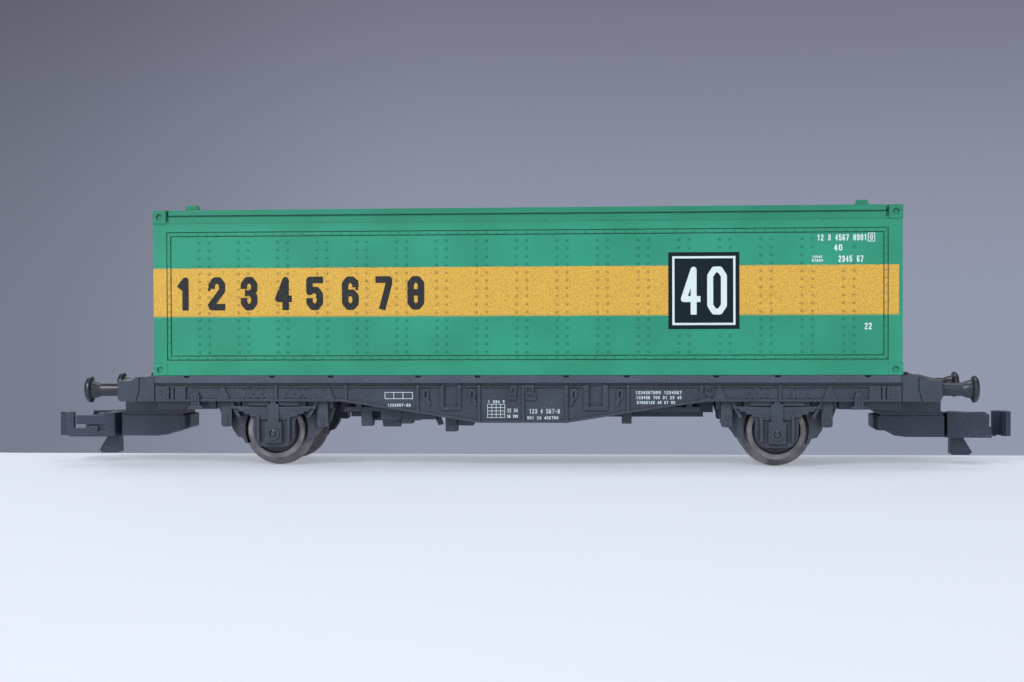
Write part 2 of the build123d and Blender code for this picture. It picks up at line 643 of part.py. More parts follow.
with BuildPart() as guard:
    block((-guard_length / 2, guard_length / 2), (-base_side, base_side),
          (guard_plate_bottom, floor_bottom - seat_gap))
    for y_span in on_both((slot_inner, guard_inner)):
        block((-slot_half, slot_half), y_span, (guard_plate_bottom, floor_bottom), Mode.SUBTRACT)
    with BuildSketch(Plane.XY.offset(floor_bottom - seat_gap)):
        with Locations((-3.5, 0), (3.5, 0)):
            Circle(0.8)
    extrude(amount=floor_thickness)
    # side plates and the posts behind their corners
    for start in (guard_inner, -guard_outer):
        with BuildSketch(Plane.XZ.offset(start)) as side_plate:
            guard_plate_outline()
            fillet(side_plate.vertices().group_by(Axis.Y)[0], 1.3)
        extrude(amount=guard_wall)
    box_z = axle_z - box_drop
    dress_outer = guard_outer + 0.42
    for y_span in on_both((guard_outer - 0.1, dress_outer)):
        # axlebox between its two guides
        block((-0.85, 0.85), y_span, (box_z - 0.9, box_z + 1.25))
        for x_span in on_both((1.45, 1.7)):
            block(x_span, y_span, (guard_bottom + 0.6, guard_top - 1.5))
        # buckle over the leaves
        block((-0.58, 0.58), y_span, (box_z + 1.2, spring_top + 0.1))
        block((-0.3, 0.3), y_span, (spring_top, guard_top))
    # round cover with a raised ring and a sunk middle
    for turn in (1, -1):
        with BuildSketch(Plane(origin=(0, 0, box_z), x_dir=(turn, 0, 0),
                               z_dir=(0, -turn, 0)).offset(dress_outer - 0.05)):
            Circle(0.64)
            Circle(0.42, mode=Mode.SUBTRACT)
        extrude(amount=0.2)
        with BuildSketch(Plane(origin=(0, 0, box_z), x_dir=(turn, 0, 0),
                               z_dir=(0, -turn, 0)).offset(dress_outer - 0.05)):
            Circle(0.24)
        extrude(amount=0.16)
    # leaf springs: a long main leaf over shorter ones
    leaf_low = guard_outer - 0.05
    for leaf_number in range(spring_leaves):
        leaf_length = spring_length - leaf_number * 1.3
        leaf_level = spring_top - 0.2 - (leaf_number + 1) * (spring_leaf + 0.02)
        leaf_depth = 0.37 - 0.03 * leaf_number
        for start in (leaf_low, -leaf_low - leaf_depth):
            with BuildSketch(Plane.XZ.offset(start)):
                spring_leaf_outline(leaf_level, leaf_length)
            extrude(amount=leaf_depth)
    # the strip over the leaves
    for x_span in on_both((0.5, 2.7)):
        for y_span in on_both((guard_inner, guard_outer + 0.2)):
            block(x_span, y_span, (spring_top - 0.06, guard_top))
    # hanger plates beyond the springs, with two bolts each, and their slanted stays
    for x_span in on_both((3.55, 5.55)):
        for y_span in on_both((guard_inner, guard_inner + 0.5)):
            block(x_span, y_span, (guard_plate_bottom - 0.05, guard_top))
    for turn in (1, -1):
        for x_side in (1, -1):
            face = Plane(origin=(0, 0, 0), x_dir=(turn, 0, 0), z_dir=(0, -turn, 0)).offset(guard_inner)
            with BuildSketch(face):
                with Locations((x_side * 5.02, (guard_top + axle_z + 0.35) / 2)):
                    RectangleRounded(1.1, guard_top - axle_z - 0.35, 0.3)
            extrude(amount=0.62)
            with BuildSketch(face):
                for level in (0.75, 1.3):
                    with Locations((x_side * 5.02, axle_z + level)):
                        Circle(0.16)
            extrude(amount=0.74)
            with BuildSketch(face):
                with BuildLine():
                    Polyline((x_side * 4.25, guard_top), (x_side * 4.6, guard_top),
                             (x_side * 4.35, spring_top - 0.3), (x_side * 3.75, spring_top - 1.35),
                             (x_side * 3.45, spring_top - 1.2), (x_side * 4.0, spring_top - 0.3),
                             close=True)
                make_face()
            extrude(amount=0.9)
    # brake shoes in the plane of the treads
    for turn in (1, -1):
        for start in (shoe_inner, -shoe_inner - shoe_width):
            with BuildSketch(Plane(origin=(0, 0, axle_z), x_dir=(turn, 0, 0),
                                   z_dir=(0, -turn, 0)).offset(turn * start)):
                shoe_outline()
            extrude(amount=turn * shoe_width)
    # bearings for the axle's journals, with a coned bottom
    bore = journal_diameter / 2 + running_gap
    bore_end = guard_outer + 0.1
    with BuildSketch(Plane.XY.offset(axle_z)):
        with BuildLine():
            Polyline((0, 0), (bore, 0), (bore, bore_end), (0.12, bore_end + bore - 0.12),
                     (0, bore_end + bore - 0.12), close=True)
        make_face()
        mirror(about=Plane.XZ)
    revolve(axis=Axis((0, 0, axle_z), (0, 1, 0)), mode=Mode.SUBTRACT)

for end_name, end_sign in (("a", 1), ("b", -1)):
    with BuildPart() as axle_guard:
        with Locations((end_sign * axle_x, 0, 0)):
            add(guard.part)
    keep(axle_guard, f"axle_guard_{end_name}")

# ---- wheelsets ------------------------------------------------------------------
# Steel axle with pointed journals, two turned wheels, and a bush that insulates one.
journal_end = guard_outer + 0.1 - running_gap
with BuildPart() as axle:
    with BuildSketch(Plane.XY.offset(axle_z)):
        with BuildLine():
            Polyline((0, 0), (axle_diameter / 2, 0), (axle_diameter / 2, wheel_face),
                     (journal_diameter / 2, wheel_face + 0.1), (journal_diameter / 2, journal_end),
                     (0.1, journal_end + journal_diameter / 2 - 0.1),
                     (0, journal_end + journal_diameter / 2 - 0.1), close=True)
        make_face()
        mirror(about=Plane.XZ)
    revolve(axis=Axis((0, 0, axle_z), (0, 1, 0)))


def make_wheel(side, bore_radius):
    """A wheel on the side given by the sign: flange, coned tread, sunk disc and hub."""
    tread_back = wheel_back + flange_width
    with BuildPart() as wheel:
        with BuildSketch(Plane.XY.offset(axle_z)):
            with BuildLine():
                Polyline(
                    (bore_radius, wheel_back), (1.7, wheel_back), (1.9, wheel_back + 0.3),
                    (tread_radius - 0.7, wheel_back + 0.3), (tread_radius - 0.5, wheel_back),
                    (flange_radius - 0.2, wheel_back), (flange_radius, wheel_back + 0.2),
                    (flange_radius - 0.05, wheel_back + 0.36), (tread_radius + 0.12, tread_back),
                    (tread_radius, tread_back + 0.1), (tread_radius - 0.05, wheel_face - 0.12),
                    (tread_radius - 0.15, wheel_face), (tread_radius - 0.6, wheel_face),
                    (tread_radius - 0.72, wheel_face - 0.4), (1.25, wheel_face - 0.4),
                    (1.15, wheel_face), (bore_radius, wheel_face), close=True,
                )
            make_face()
            if side < 0:
                mirror(about=Plane.XZ, mode=Mode.REPLACE)
        revolve(axis=Axis((0, 0, axle_z), (0, 1, 0)))
    return wheel


with BuildPart() as bush:
    with Locations(Location((0, (wheel_back + wheel_face) / 2, axle_z), (90, 0, 0))):
        Cylinder(bush_radius, wheel_face - wheel_back)
        Cylinder(axle_diameter / 2, wheel_face - wheel_back, mode=Mode.SUBTRACT)

set_pieces = (
    ("axle", "", axle), ("wheel", "_near", make_wheel(-1, axle_diameter / 2)),
    ("wheel", "_far", make_wheel(1, bush_radius)), ("insulating_bush", "", bush),
)
for end_name, end_sign in (("a", 1), ("b", -1)):
    for stem, side_word, piece in set_pieces:
        with BuildPart() as placed:
            with Locations((end_sign * axle_x, 0, 0)):
                add(piece.part)
        keep(placed, f"{stem}_{end_name}{side_word}")

# ---- brake gear -----------------------------------------------------------------
# Moulded strip under the floor with cylinder, levers, brackets and an air tank.
gear_inner = spine_width / 2 + 0.15
gear_outer = sill_inner - 0.25
gear_top = floor_bottom - 0.75 - seat_gap
brackets = (
    # start, end, outer inset, inner inset, drop below the strip's top
    (-16.75, -15.65, 0.3, 0.9, 2.0), (-14.7, -12.6, 0.1, 0.5, 1.3), (-12.6, -11.5, 0.25, 0.6, 1.75),
    (-11.5, -8.9, 0.0, 0.3, 1.3), (-8.0, -6.85, 0.2, 0.9, 2.55), (-6.75, -5.2, 0.4, 0.5, 1.95),
    (10.05, 11.06, 0.2, 0.4, 1.72),
)
with BuildPart() as brake_gear:
    block((-spine_half + 1.0, spine_half - 1.5), (-gear_outer, -gear_inner), (gear_top - 0.45, gear_top))
    for x_low, x_high, outer_inset, inner_inset, drop in brackets:
        block((x_low, x_high), (-gear_outer + outer_inset, -gear_inner - inner_inset),
              (gear_top - drop, gear_top))
    # brake cylinder with its rod, and the slanted levers
    gear_mid = -(gear_inner + gear_outer) / 2
    with Locations(Location((-13.7, gear_mid, gear_top - 1.25), (0, 90, 0))):
        Cylinder(0.9, 1.8)
        Cylinder(0.25, 6.0)
    with Locations(Location((3.2, gear_mid, gear_top - 0.75), (0, 90, 0))):
        Cylinder(0.7, 6.4)
        Cylinder(0.5, 7.0)
    for x, lean in ((-9.6, 0.8), (-5.1, -0.8)):
        with BuildSketch(Plane.XZ.offset(-gear_mid + 0.2)):
            with BuildLine():
                Polyline((x, gear_top - 0.2), (x + lean, gear_top - 1.95), (x + lean + 0.5, gear_top - 1.85),
                         (x + 0.7, gear_top - 0.2), close=True)
            make_face()
        extrude(amount=0.5)
keep(brake_gear, "brake_gear_near")
with BuildPart() as far_gear:
    mirror(brake_gear.part, about=Plane.XZ)
keep(far_gear, "brake_gear_far")

# ---- coupler box ----------------------------------------------------------------
# Open-topped pocket under each headstock; the tail of the coupler swings inside it.
chamber_half = box_width / 2 - box_wall
chamber_front = pivot_x + tail_length / 2 + 0.4
passage_half = 1.3
chamber_rear = box_rear + box_wall
cavity_top = box_top - cover_thickness
with BuildPart() as coupler_box:
    with BuildSketch(Plane.XZ.offset(-box_width / 2)):
        with BuildLine():
            Polyline(
                (box_front, box_bottom), (box_rear + 3.3, box_bottom), (box_rear + 2.1, box_bottom + 0.14),
                (box_rear + 1.75, box_bottom + 0.3), (box_rear + 1.7, box_bottom + 0.62),
                (box_rear + 0.25, box_bottom + 0.7), (box_rear, box_bottom + 0.95),
                (box_rear, cavity_top), (box_front, cavity_top), close=True,
            )
        make_face()
    extrude(amount=box_width)
    fillet(coupler_box.edges().filter_by(Axis.Z).group_by(Axis.X)[0], 0.9)
    block((chamber_rear, chamber_front), (-chamber_half, chamber_half),
          (coupler_z - 0.75, cavity_top), Mode.SUBTRACT)
    block((chamber_front, box_front), (-passage_half, passage_half),
          (coupler_z - shank_height / 2 - running_gap, cavity_top), Mode.SUBTRACT)
keep(coupler_box, "coupler_box_a")
keep(half_turn(coupler_box), "coupler_box_b")

with BuildPart() as coupler_cover:
    block((box_rear + 0.6, box_front - 0.1), (-box_width / 2 + 0.1, box_width / 2 - 0.1),
          (cavity_top, box_top))
    with BuildSketch(Plane.XY.offset(box_top)):
        with Locations((cover_peg_x, 0)):
            Circle(0.8)
    extrude(amount=0.8)
keep(coupler_cover, "coupler_cover_a")
keep(half_turn(coupler_cover), "coupler_cover_b")

# ---- coupler spring -------------------------------------------------------------
# Coil between the box's rear wall and the coupler's tail.
spring_start = chamber_rear + 0.12
spring_end = pivot_x - tail_length / 2 - 0.04
coil_radius = (spring_coil - spring_wire) / 2
coil_length = spring_end - spring_start - spring_wire
with BuildPart() as coupler_spring:
    with BuildLine():
        coil = Helix(coil_length / spring_turns, coil_length, coil_radius,
                     center=(spring_start + spring_wire / 2, 0, coupler_z), direction=(1, 0, 0))
    with BuildSketch(Plane(origin=coil @ 0, z_dir=coil % 0)):
        Circle(spring_wire / 2)
    sweep(path=coil, is_frenet=True)
keep(coupler_spring, "coupler_spring_a")
keep(half_turn(coupler_spring), "coupler_spring_b")

# ---- coupler --------------------------------------------------------------------
# T-tail and shank inside the box, cross block, and a hooked head with two arms:
# a closed wall on the -Y side, a slotted arm with the hook plate on the +Y side.
head_half = 1.9
arm = 0.65
arm_inner = head_half - arm
root = box_front + 0.22
head_low = coupler_z - 1.42
head_high = coupler_z + 1.2
with BuildPart() as coupler:
    block((pivot_x - tail_length / 2, pivot_x + tail_length / 2), (-tail_width / 2, tail_width / 2),
          (coupler_z - 0.6, coupler_z + 0.6))
    block((pivot_x, root + 0.3), (-shank_width / 2, shank_width / 2),
          (coupler_z - shank_height / 2, coupler_z + shank_height / 2))
    with BuildSketch(Plane.XY.offset(head_low)):
        with BuildLine():
            Polyline((root, -0.8), (root + 0.2, -head_half), (root + 1.5, -head_half),
                     (root + 1.95, head_half), (root + 0.86, head_half), (root + 0.45, 0.8),
                     (root, 0.8), close=True)
        make_face()
    extrude(amount=head_high - 0.1 - head_low)
    # raised pad on the slotted side, floor web between the arms
    block((root + 1.0, root + 2.7), (arm_inner - 0.5, head_half - 0.05), (coupler_z + 0.5, head_high - 0.15))
    block((root + 1.0, root + 4.6), (-head_half, head_half), (head_low, head_low + 0.5))
    # closed wall with its slanted end and the lip along its top
    with BuildSketch(Plane.XZ.offset(head_half - arm)):
        with BuildLine():
            Polyline((root + 0.2, head_low), (root + 4.73, head_low), (root + 4.15, head_high),
                     (root + 0.2, head_high), close=True)
        make_face()
    extrude(amount=arm)
    block((root + 0.25, root + 4.1), (-head_half, -head_half + 1.0), (head_high - 0.2, head_high))
    # slotted arm: upper bar, lower bar, recessed step and tooth between them
    block((root + 1.8, root + 5.1), (arm_inner, head_half), (coupler_z - 0.15, coupler_z + 0.82))
    block((root + 2.7, root + 5.8), (arm_inner, head_half), (head_low - 0.06, coupler_z - 0.56))
    block((root + 1.8, root + 2.75), (arm_inner, head_half - 0.25), (head_low - 0.06, coupler_z))
    block((root + 2.7, root + 3.6), (arm_inner, head_half), (coupler_z - 0.6, coupler_z - 0.36))
    block((root + 3.6, root + 4.1), (arm_inner, head_half - 0.22), (coupler_z - 0.6, coupler_z))
    # hook plate: a cheek on the slotted side turning in across the front
    with BuildSketch(Plane.XY.offset(coupler_z - 1.35)):
        with BuildLine():
            Polyline((root + 5.36, head_half), (root + 6.1, head_half), (root + 6.98, 1.35),
                     (root + 6.98, -0.15), (root + 6.45, -0.6), (root + 6.05, -0.15),
                     (root + 6.05, 0.9), (root + 5.36, arm_inner), close=True)
        make_face()
    extrude(amount=2.52)
    # drop leg, wider at its foot
    leg_foot = rail_top + 0.15
    with BuildSketch(Plane.XZ.offset(-0.7)):
        with BuildLine():
            Polyline((root + 0.76, head_low + 0.1), (root + 0.72, leg_foot + 0.12), (root + 0.9, leg_foot),
                     (root + 2.65, leg_foot), (root + 2.95, leg_foot + 0.3), (root + 1.95, head_low + 0.1),
                     close=True)
        make_face()
    extrude(amount=1.4)
keep(coupler, "coupler_a")
keep(half_turn(coupler), "coupler_b")
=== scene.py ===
"""Finish and fine detail of a 1:160 container flat wagon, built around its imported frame.

The wagon looks the same after half a turn about Z, so what is made for the near side (-Y)
is made again, turned, for the far side. All lengths named in millimetres are turned into
metres by MM where they meet a mesh.
"""
import json
import logging
import math
from dataclasses import dataclass, field
from enum import Enum
from typing import Iterable, Sequence

import bmesh
import bpy
from mathutils import Matrix, Vector
from mathutils.geometry import intersect_point_line


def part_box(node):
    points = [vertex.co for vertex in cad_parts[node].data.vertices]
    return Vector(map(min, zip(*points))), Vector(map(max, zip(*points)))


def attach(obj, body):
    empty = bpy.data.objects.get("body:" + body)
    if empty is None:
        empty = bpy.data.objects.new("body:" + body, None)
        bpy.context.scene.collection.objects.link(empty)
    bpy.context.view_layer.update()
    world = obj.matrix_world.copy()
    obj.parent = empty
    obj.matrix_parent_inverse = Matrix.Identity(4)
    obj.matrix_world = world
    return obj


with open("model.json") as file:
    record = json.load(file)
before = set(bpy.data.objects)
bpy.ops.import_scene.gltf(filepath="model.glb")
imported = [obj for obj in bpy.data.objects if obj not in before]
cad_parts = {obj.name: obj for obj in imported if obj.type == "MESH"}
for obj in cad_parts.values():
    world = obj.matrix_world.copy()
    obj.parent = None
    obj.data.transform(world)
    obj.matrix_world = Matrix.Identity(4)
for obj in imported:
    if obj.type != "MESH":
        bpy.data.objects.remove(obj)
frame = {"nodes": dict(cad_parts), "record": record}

MM = 0.001
FLANGE_MM = 0.7
RAIL_MM = 0.7
LET_IN_MM = 0.004
RIVET_SMOOTH_DEG = 75.0
LOG = logging.getLogger("wagon")
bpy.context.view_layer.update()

Colour = tuple[float, float, float, float]
Value = object
Strokes = list[tuple[Vector, Vector, float]]
Line = tuple[tuple[float, float], ...]


class Side(Enum):
    """A long side of the wagon."""

    NEAR = -1
    FAR = 1


class Slot(Enum):
    """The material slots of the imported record."""

    CONTAINER = "container_shell_paint"
    CONTAINER_FLOOR = "container_floor_plastic"
    FRAME = "frame_plastic"
    DECK = "deck_plastic"
    RUNNING_GEAR = "running_gear_plastic"
    COUPLER = "coupler_plastic"
    BUFFER = "buffer_plastic"
    WHEEL = "wheel_metal"
    AXLE = "axle_steel"
    BUSH = "bush_plastic"
    WEIGHT = "weight_steel"
    SPRING = "spring_steel"


def srgb(red: int, green: int, blue: int) -> Colour:
    """Turn a display colour into the linear colour that a shader takes.

    Args:
        red: Red, 0 to 255.
        green: Green, 0 to 255.
        blue: Blue, 0 to 255.

    Returns:
        The linear colour with full alpha.
    """
    def linear(channel: int) -> float:
        """One channel, from display to linear."""
        share = channel / 255
        return share / 12.92 if share <= 0.04045 else ((share + 0.055) / 1.055) ** 2.4

    return (linear(red), linear(green), linear(blue), 1.0)


DUST = srgb(158, 154, 148)

# Plain digits as lines on a sheet one wide and one high. The pen rounds their corners and
# squares their ends.
_DOME = ((0.0, 0.85), (0.3, 1.0), (0.7, 1.0), (1.0, 0.85))
_DISH = ((1.0, 0.15), (0.7, 0.0), (0.3, 0.0), (0.0, 0.15))
_RING = ((0.3, 0.0), (0.7, 0.0), (1.0, 0.15), *_DOME[::-1], (0.0, 0.15), (0.3, 0.0))
DIGITS: dict[str, tuple[Line, ...]] = {
    "0": (_RING,),
    "1": (((0.2, 0.8), (0.6, 1.0), (0.6, 0.0)),),
    "2": (((0.0, 0.81), *_DOME, (1.0, 0.62), (0.0, 0.1), (0.0, 0.0), (1.0, 0.0)),),
    "3": (((0.0, 0.8), *_DOME, (1.0, 0.64), (0.75, 0.52), (0.4, 0.52)),
          ((0.6, 0.52), (0.75, 0.52), (1.0, 0.38), *_DISH, (0.0, 0.22))),
    "4": (((0.72, 0.0), (0.72, 1.0), (0.0, 0.3), (1.0, 0.3)),),
    "5": (((1.0, 1.0), (0.0, 1.0), (0.0, 0.55), (0.3, 0.62), (0.7, 0.62), (1.0, 0.46), *_DISH,
           (0.0, 0.2)),),
    "6": (((1.0, 0.84), *_DOME[::-1], *_DISH[::-1], (1.0, 0.38), (0.7, 0.52), (0.15, 0.49)),),
    "7": (((0.0, 1.0), (1.0, 1.0), (1.0, 0.88), (0.4, 0.0)),),
    "8": (_RING, ((0.15, 0.52), (0.85, 0.52))),
    "9": (((0.0, 0.16), *_DISH[::-1], *_DOME[::-1], (0.0, 0.62), (0.3, 0.48), (0.85, 0.51)),),
    "-": (((0.2, 0.5), (0.8, 0.5)),),
}


def shade(colour: Colour, share: float) -> Colour:
    """A colour made paler or darker, at most to white."""
    red, green, blue, alpha = colour
    return (min(1.0, red * share), min(1.0, green * share), min(1.0, blue * share), alpha)


def middle_of_axle() -> tuple[float, float]:
    """How far end a's axle is from the wagon's middle, and its height, in millimetres."""
    low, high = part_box("axle_a")
    return (low.x + high.x) / 2 / MM, (low.z + high.z) / 2 / MM


class Tree:
    """A node tree, with short ways to add and join its nodes."""

    def __init__(self, tree: bpy.types.NodeTree) -> None:
        """Take a node tree over and empty it."""
        self.tree = tree
        self.tree.nodes.clear()

    def feed(self, socket: bpy.types.NodeSocket, value: Value) -> None:
        """Link a socket to another, or set it to a plain value.

        Args:
            socket: The socket that is fed.
            value: A socket or a plain value.
        """
        if isinstance(value, bpy.types.NodeSocket):
            self.tree.links.new(value, socket)
        else:
            socket.default_value = value

    def add(self, kind: str, inputs: dict, **settings: Value) -> bpy.types.Node:
        """Add a node.

        Args:
            kind: The node's type.
            inputs: What goes into its sockets, by name or number.
            settings: The node's own settings.

        Returns:
            The new node.
        """
        node = self.tree.nodes.new(kind)
        for name, value in settings.items():
            setattr(node, name, value)
        for key, value in inputs.items():
            self.feed(node.inputs[key], value)
        return node

    def maths(self, operation: str, *values: Value) -> bpy.types.NodeSocket:
        """The result of one maths operation on one to three values."""
        return self.add("ShaderNodeMath", dict(enumerate(values)), operation=operation).outputs[0]

    def rise(self, value: Value, low: float, high: float) -> bpy.types.NodeSocket:
        """A smooth step.

        Args:
            value: The value.
            low: The step is 0 under this.
            high: The step is 1 over this.

        Returns:
            The step.
        """
        node = self.add("ShaderNodeMapRange", {"Value": value, "From Min": low, "From Max": high},
                        interpolation_type="SMOOTHSTEP")
        return node.outputs["Result"]

    def within(self, value: Value, low: float, high: float, soft: float) -> bpy.types.NodeSocket:
        """A mask of the values between two limits.

        Args:
            value: The value.
            low: Lower limit.
            high: Upper limit.
            soft: Width over which the mask falls to 0 at each limit.

        Returns:
            The mask.
        """
        start = self.rise(value, low - soft, low + soft)
        end = self.rise(value, high - soft, high + soft)
        return self.maths("SUBTRACT", start, end)

    def mix(self, share: Value, first: Value, second: Value) -> bpy.types.NodeSocket:
        """A colour between two colours."""
        node = self.add("ShaderNodeMix", {0: share, 6: first, 7: second}, data_type="RGBA")
        return node.outputs[2]

    def dab(self, body: Value, mask: Value, strength: Value, colour: Value) -> bpy.types.NodeSocket:
        """A body with a colour laid over it where a mask is, at a strength."""
        return self.mix(self.maths("MULTIPLY", mask, strength), body, colour)

    def seen_directly(self) -> bpy.types.NodeSocket:
        """Find what the camera sees, straight, in a reflection or through glass.

        Returns:
            A mask that is 1 there.
        """
        path = self.add("ShaderNodeLightPath", {})
        mask = path.outputs["Is Camera Ray"]
        for ray in ("Is Glossy Ray", "Is Transmission Ray"):
            mask = self.maths("MAXIMUM", mask, path.outputs[ray])
        return mask


class Graph(Tree):
    """A material's node tree, which ends in one principled shader."""

    def __init__(self, name: str) -> None:
        """Start a material.

        Args:
            name: Its name.
        """
        self.material = bpy.data.materials.new(name)
        self.material.use_nodes = True
        super().__init__(self.material.node_tree)
        self.output = self.tree.nodes.new("ShaderNodeOutputMaterial")
        self.shader = self.tree.nodes.new("ShaderNodeBsdfPrincipled")
        self.tree.links.new(self.shader.outputs["BSDF"], self.output.inputs["Surface"])
        self.coords = self.tree.nodes.new("ShaderNodeTexCoord")

    def noise(self, size_mm: float, detail: float = 2.0) -> bpy.types.NodeSocket:
        """Noise.

        Args:
            size_mm: How far its blotches are across, about.
            detail: How many finer layers it has.

        Returns:
            The noise, from 0 to 1.
        """
        node = self.add("ShaderNodeTexNoise", {"Vector": self.coords.outputs["Object"],
                                               "Scale": 1 / (size_mm * MM), "Detail": detail})
        return node.outputs["Fac"]

    def specks(self, size_mm: float, share: float) -> bpy.types.NodeSocket:
        """Sparse round specks.

        Args:
            size_mm: Distance between neighbouring specks.
            share: Radius of a speck as a share of that distance.

        Returns:
            A mask that is 1 inside a speck.
        """
        node = self.add("ShaderNodeTexVoronoi", {"Vector": self.coords.outputs["Object"],
                                                 "Scale": 1 / (size_mm * MM)})
        near = self.maths("SUBTRACT", 1.0, self.rise(node.outputs["Distance"], share * 0.5, share))
        chosen = self.maths("GREATER_THAN", node.outputs["Color"], 0.62)
        return self.maths("MULTIPLY", near, chosen)

    def xyz(self) -> tuple[bpy.types.NodeSocket, ...]:
        """The three object coordinates, in metres."""
        node = self.add("ShaderNodeSeparateXYZ", {0: self.coords.outputs["Object"]})
        return node.outputs[0], node.outputs[1], node.outputs[2]

    def soft_normal(self, radius_mm: float) -> bpy.types.NodeSocket:
        """A normal that rounds edges to about radius_mm."""
        return self.add("ShaderNodeBevel", {"Radius": radius_mm * MM}, samples=5).outputs[0]

    def edges(self, soft: bpy.types.NodeSocket) -> bpy.types.NodeSocket:
        """Find sharp edges.

        Args:
            soft: A soft normal, whose radius sets how wide an edge is.

        Returns:
            A mask that is 1 on an edge.
        """
        geometry = self.add("ShaderNodeNewGeometry", {})
        dot = self.add("ShaderNodeVectorMath", {0: soft, 1: geometry.outputs["Normal"]},
                       operation="DOT_PRODUCT")
        return self.maths("SUBTRACT", 1.0, self.rise(dot.outputs["Value"], 0.80, 0.995))

    def crevices(self, reach_mm: float) -> bpy.types.NodeSocket:
        """A mask of corners and slots narrower than about reach_mm, which the materials darken as
        painted shade.
        """
        open_sky = self.add("ShaderNodeAmbientOcclusion", {"Distance": reach_mm * MM}, samples=5)
        return self.maths("SUBTRACT", 1.0, self.rise(open_sky.outputs["AO"], 0.30, 0.92))

    def looks(self, axis: int) -> bpy.types.NodeSocket:
        """How far a face looks along an axis, from -1 to 1."""
        geometry = self.add("ShaderNodeNewGeometry", {})
        return self.add("ShaderNodeSeparateXYZ", {0: geometry.outputs["Normal"]}).outputs[axis]

    def upward(self) -> bpy.types.NodeSocket:
        """A mask of faces that look up, where dust settles."""
        return self.rise(self.looks(2), 0.55, 0.95)

    def sideward(self) -> bpy.types.NodeSocket:
        """A mask of faces that look to either long side."""
        return self.rise(self.maths("ABSOLUTE", self.looks(1)), 0.25, 0.6)

    def bump(self, height: Value, depth_mm: float, strength: float = 1.0,
             normal: Value = None) -> bpy.types.NodeSocket:
        """A normal bent by a height map.

        Args:
            height: The height map, from 0 to 1.
            depth_mm: Its depth.
            strength: How much of it shows.
            normal: The normal that is bent, or None for the mesh's own.

        Returns:
            The bent normal.
        """
        inputs = {"Height": height, "Strength": strength, "Distance": depth_mm * MM}
        if normal is not None:
            inputs["Normal"] = normal
        return self.add("ShaderNodeBump", inputs).outputs[0]

    def finish(self, **inputs: Value) -> bpy.types.Material:
        """Set the shader's sockets.

        Args:
            inputs: What goes into each socket, its name's spaces written as underscores.

        Returns:
            The finished material.
        """
        for name, value in inputs.items():
            self.feed(self.shader.inputs[name.replace("_", " ")], value)
        return self.material


@dataclass(frozen=True)
class MouldedPlastic:
    """Injection-moulded plastic: fine skin, soft edges, rubbed corners with painted highlight, dust,
    crevices in painted shade.

    Attributes:
        name: Material name.
        colour: Base colour.
        worn_highlight: Colour of rubbed edges, which also serves as a painted highlight on them.
        roughness: Roughness of the skin.
        grain_mm: Size of the skin's grain.
        grain_depth_mm: Depth of that grain.
        wear_and_highlight: How much of that edge colour shows on edges, as rubbing and as painted
            highlight.
        dust: How much dust lies on upward faces.
        edge_mm: Radius to which the shading rounds the edges.
        crevice_shade: Strength of the painted shade that darkens the crevices.
    """

    name: str
    colour: Colour
    worn_highlight: Colour
    roughness: float = 0.42
    grain_mm: float = 0.15
    grain_depth_mm: float = 0.022
    wear_and_highlight: float = 0.8
    dust: float = 0.16
    edge_mm: float = 0.06
    crevice_shade: float = 0.75

    def build(self) -> bpy.types.Material:
        """Make the material."""
        graph = Graph(self.name)
        grain = graph.noise(self.grain_mm, 3.0)
        cloud = graph.noise(3.2, 4.0)
        body = graph.mix(graph.rise(cloud, 0.3, 0.72), shade(self.colour, 0.78), self.colour)
        fine = graph.rise(graph.noise(0.28, 3.0), 0.5, 0.7)
        body = graph.dab(body, fine, 0.6, shade(self.colour, 1.35))
        soft = graph.soft_normal(self.edge_mm)
        # edges take a lighter colour: partly rubbed plastic, partly a painted highlight
        rubbed = graph.maths("MULTIPLY", graph.edges(soft), self.wear_and_highlight)
        body = graph.dab(body, rubbed, graph.rise(grain, 0.3, 0.6), self.worn_highlight)
        body = graph.dab(body, graph.upward(), self.dust, DUST)
        # painted shade: corners and slots are darkened towards a near-black of the base colour
        body = graph.dab(body, graph.crevices(0.55), self.crevice_shade, shade(self.colour, 0.16))
        body = graph.dab(body, graph.specks(0.45, 0.17), 0.30, srgb(150, 155, 165))
        rough = graph.maths("MULTIPLY_ADD", cloud, 0.16, self.roughness - 0.08)
        return graph.finish(Base_Color=body, Roughness=rough, IOR=1.48,
                            Normal=graph.bump(grain, self.grain_depth_mm, normal=soft))


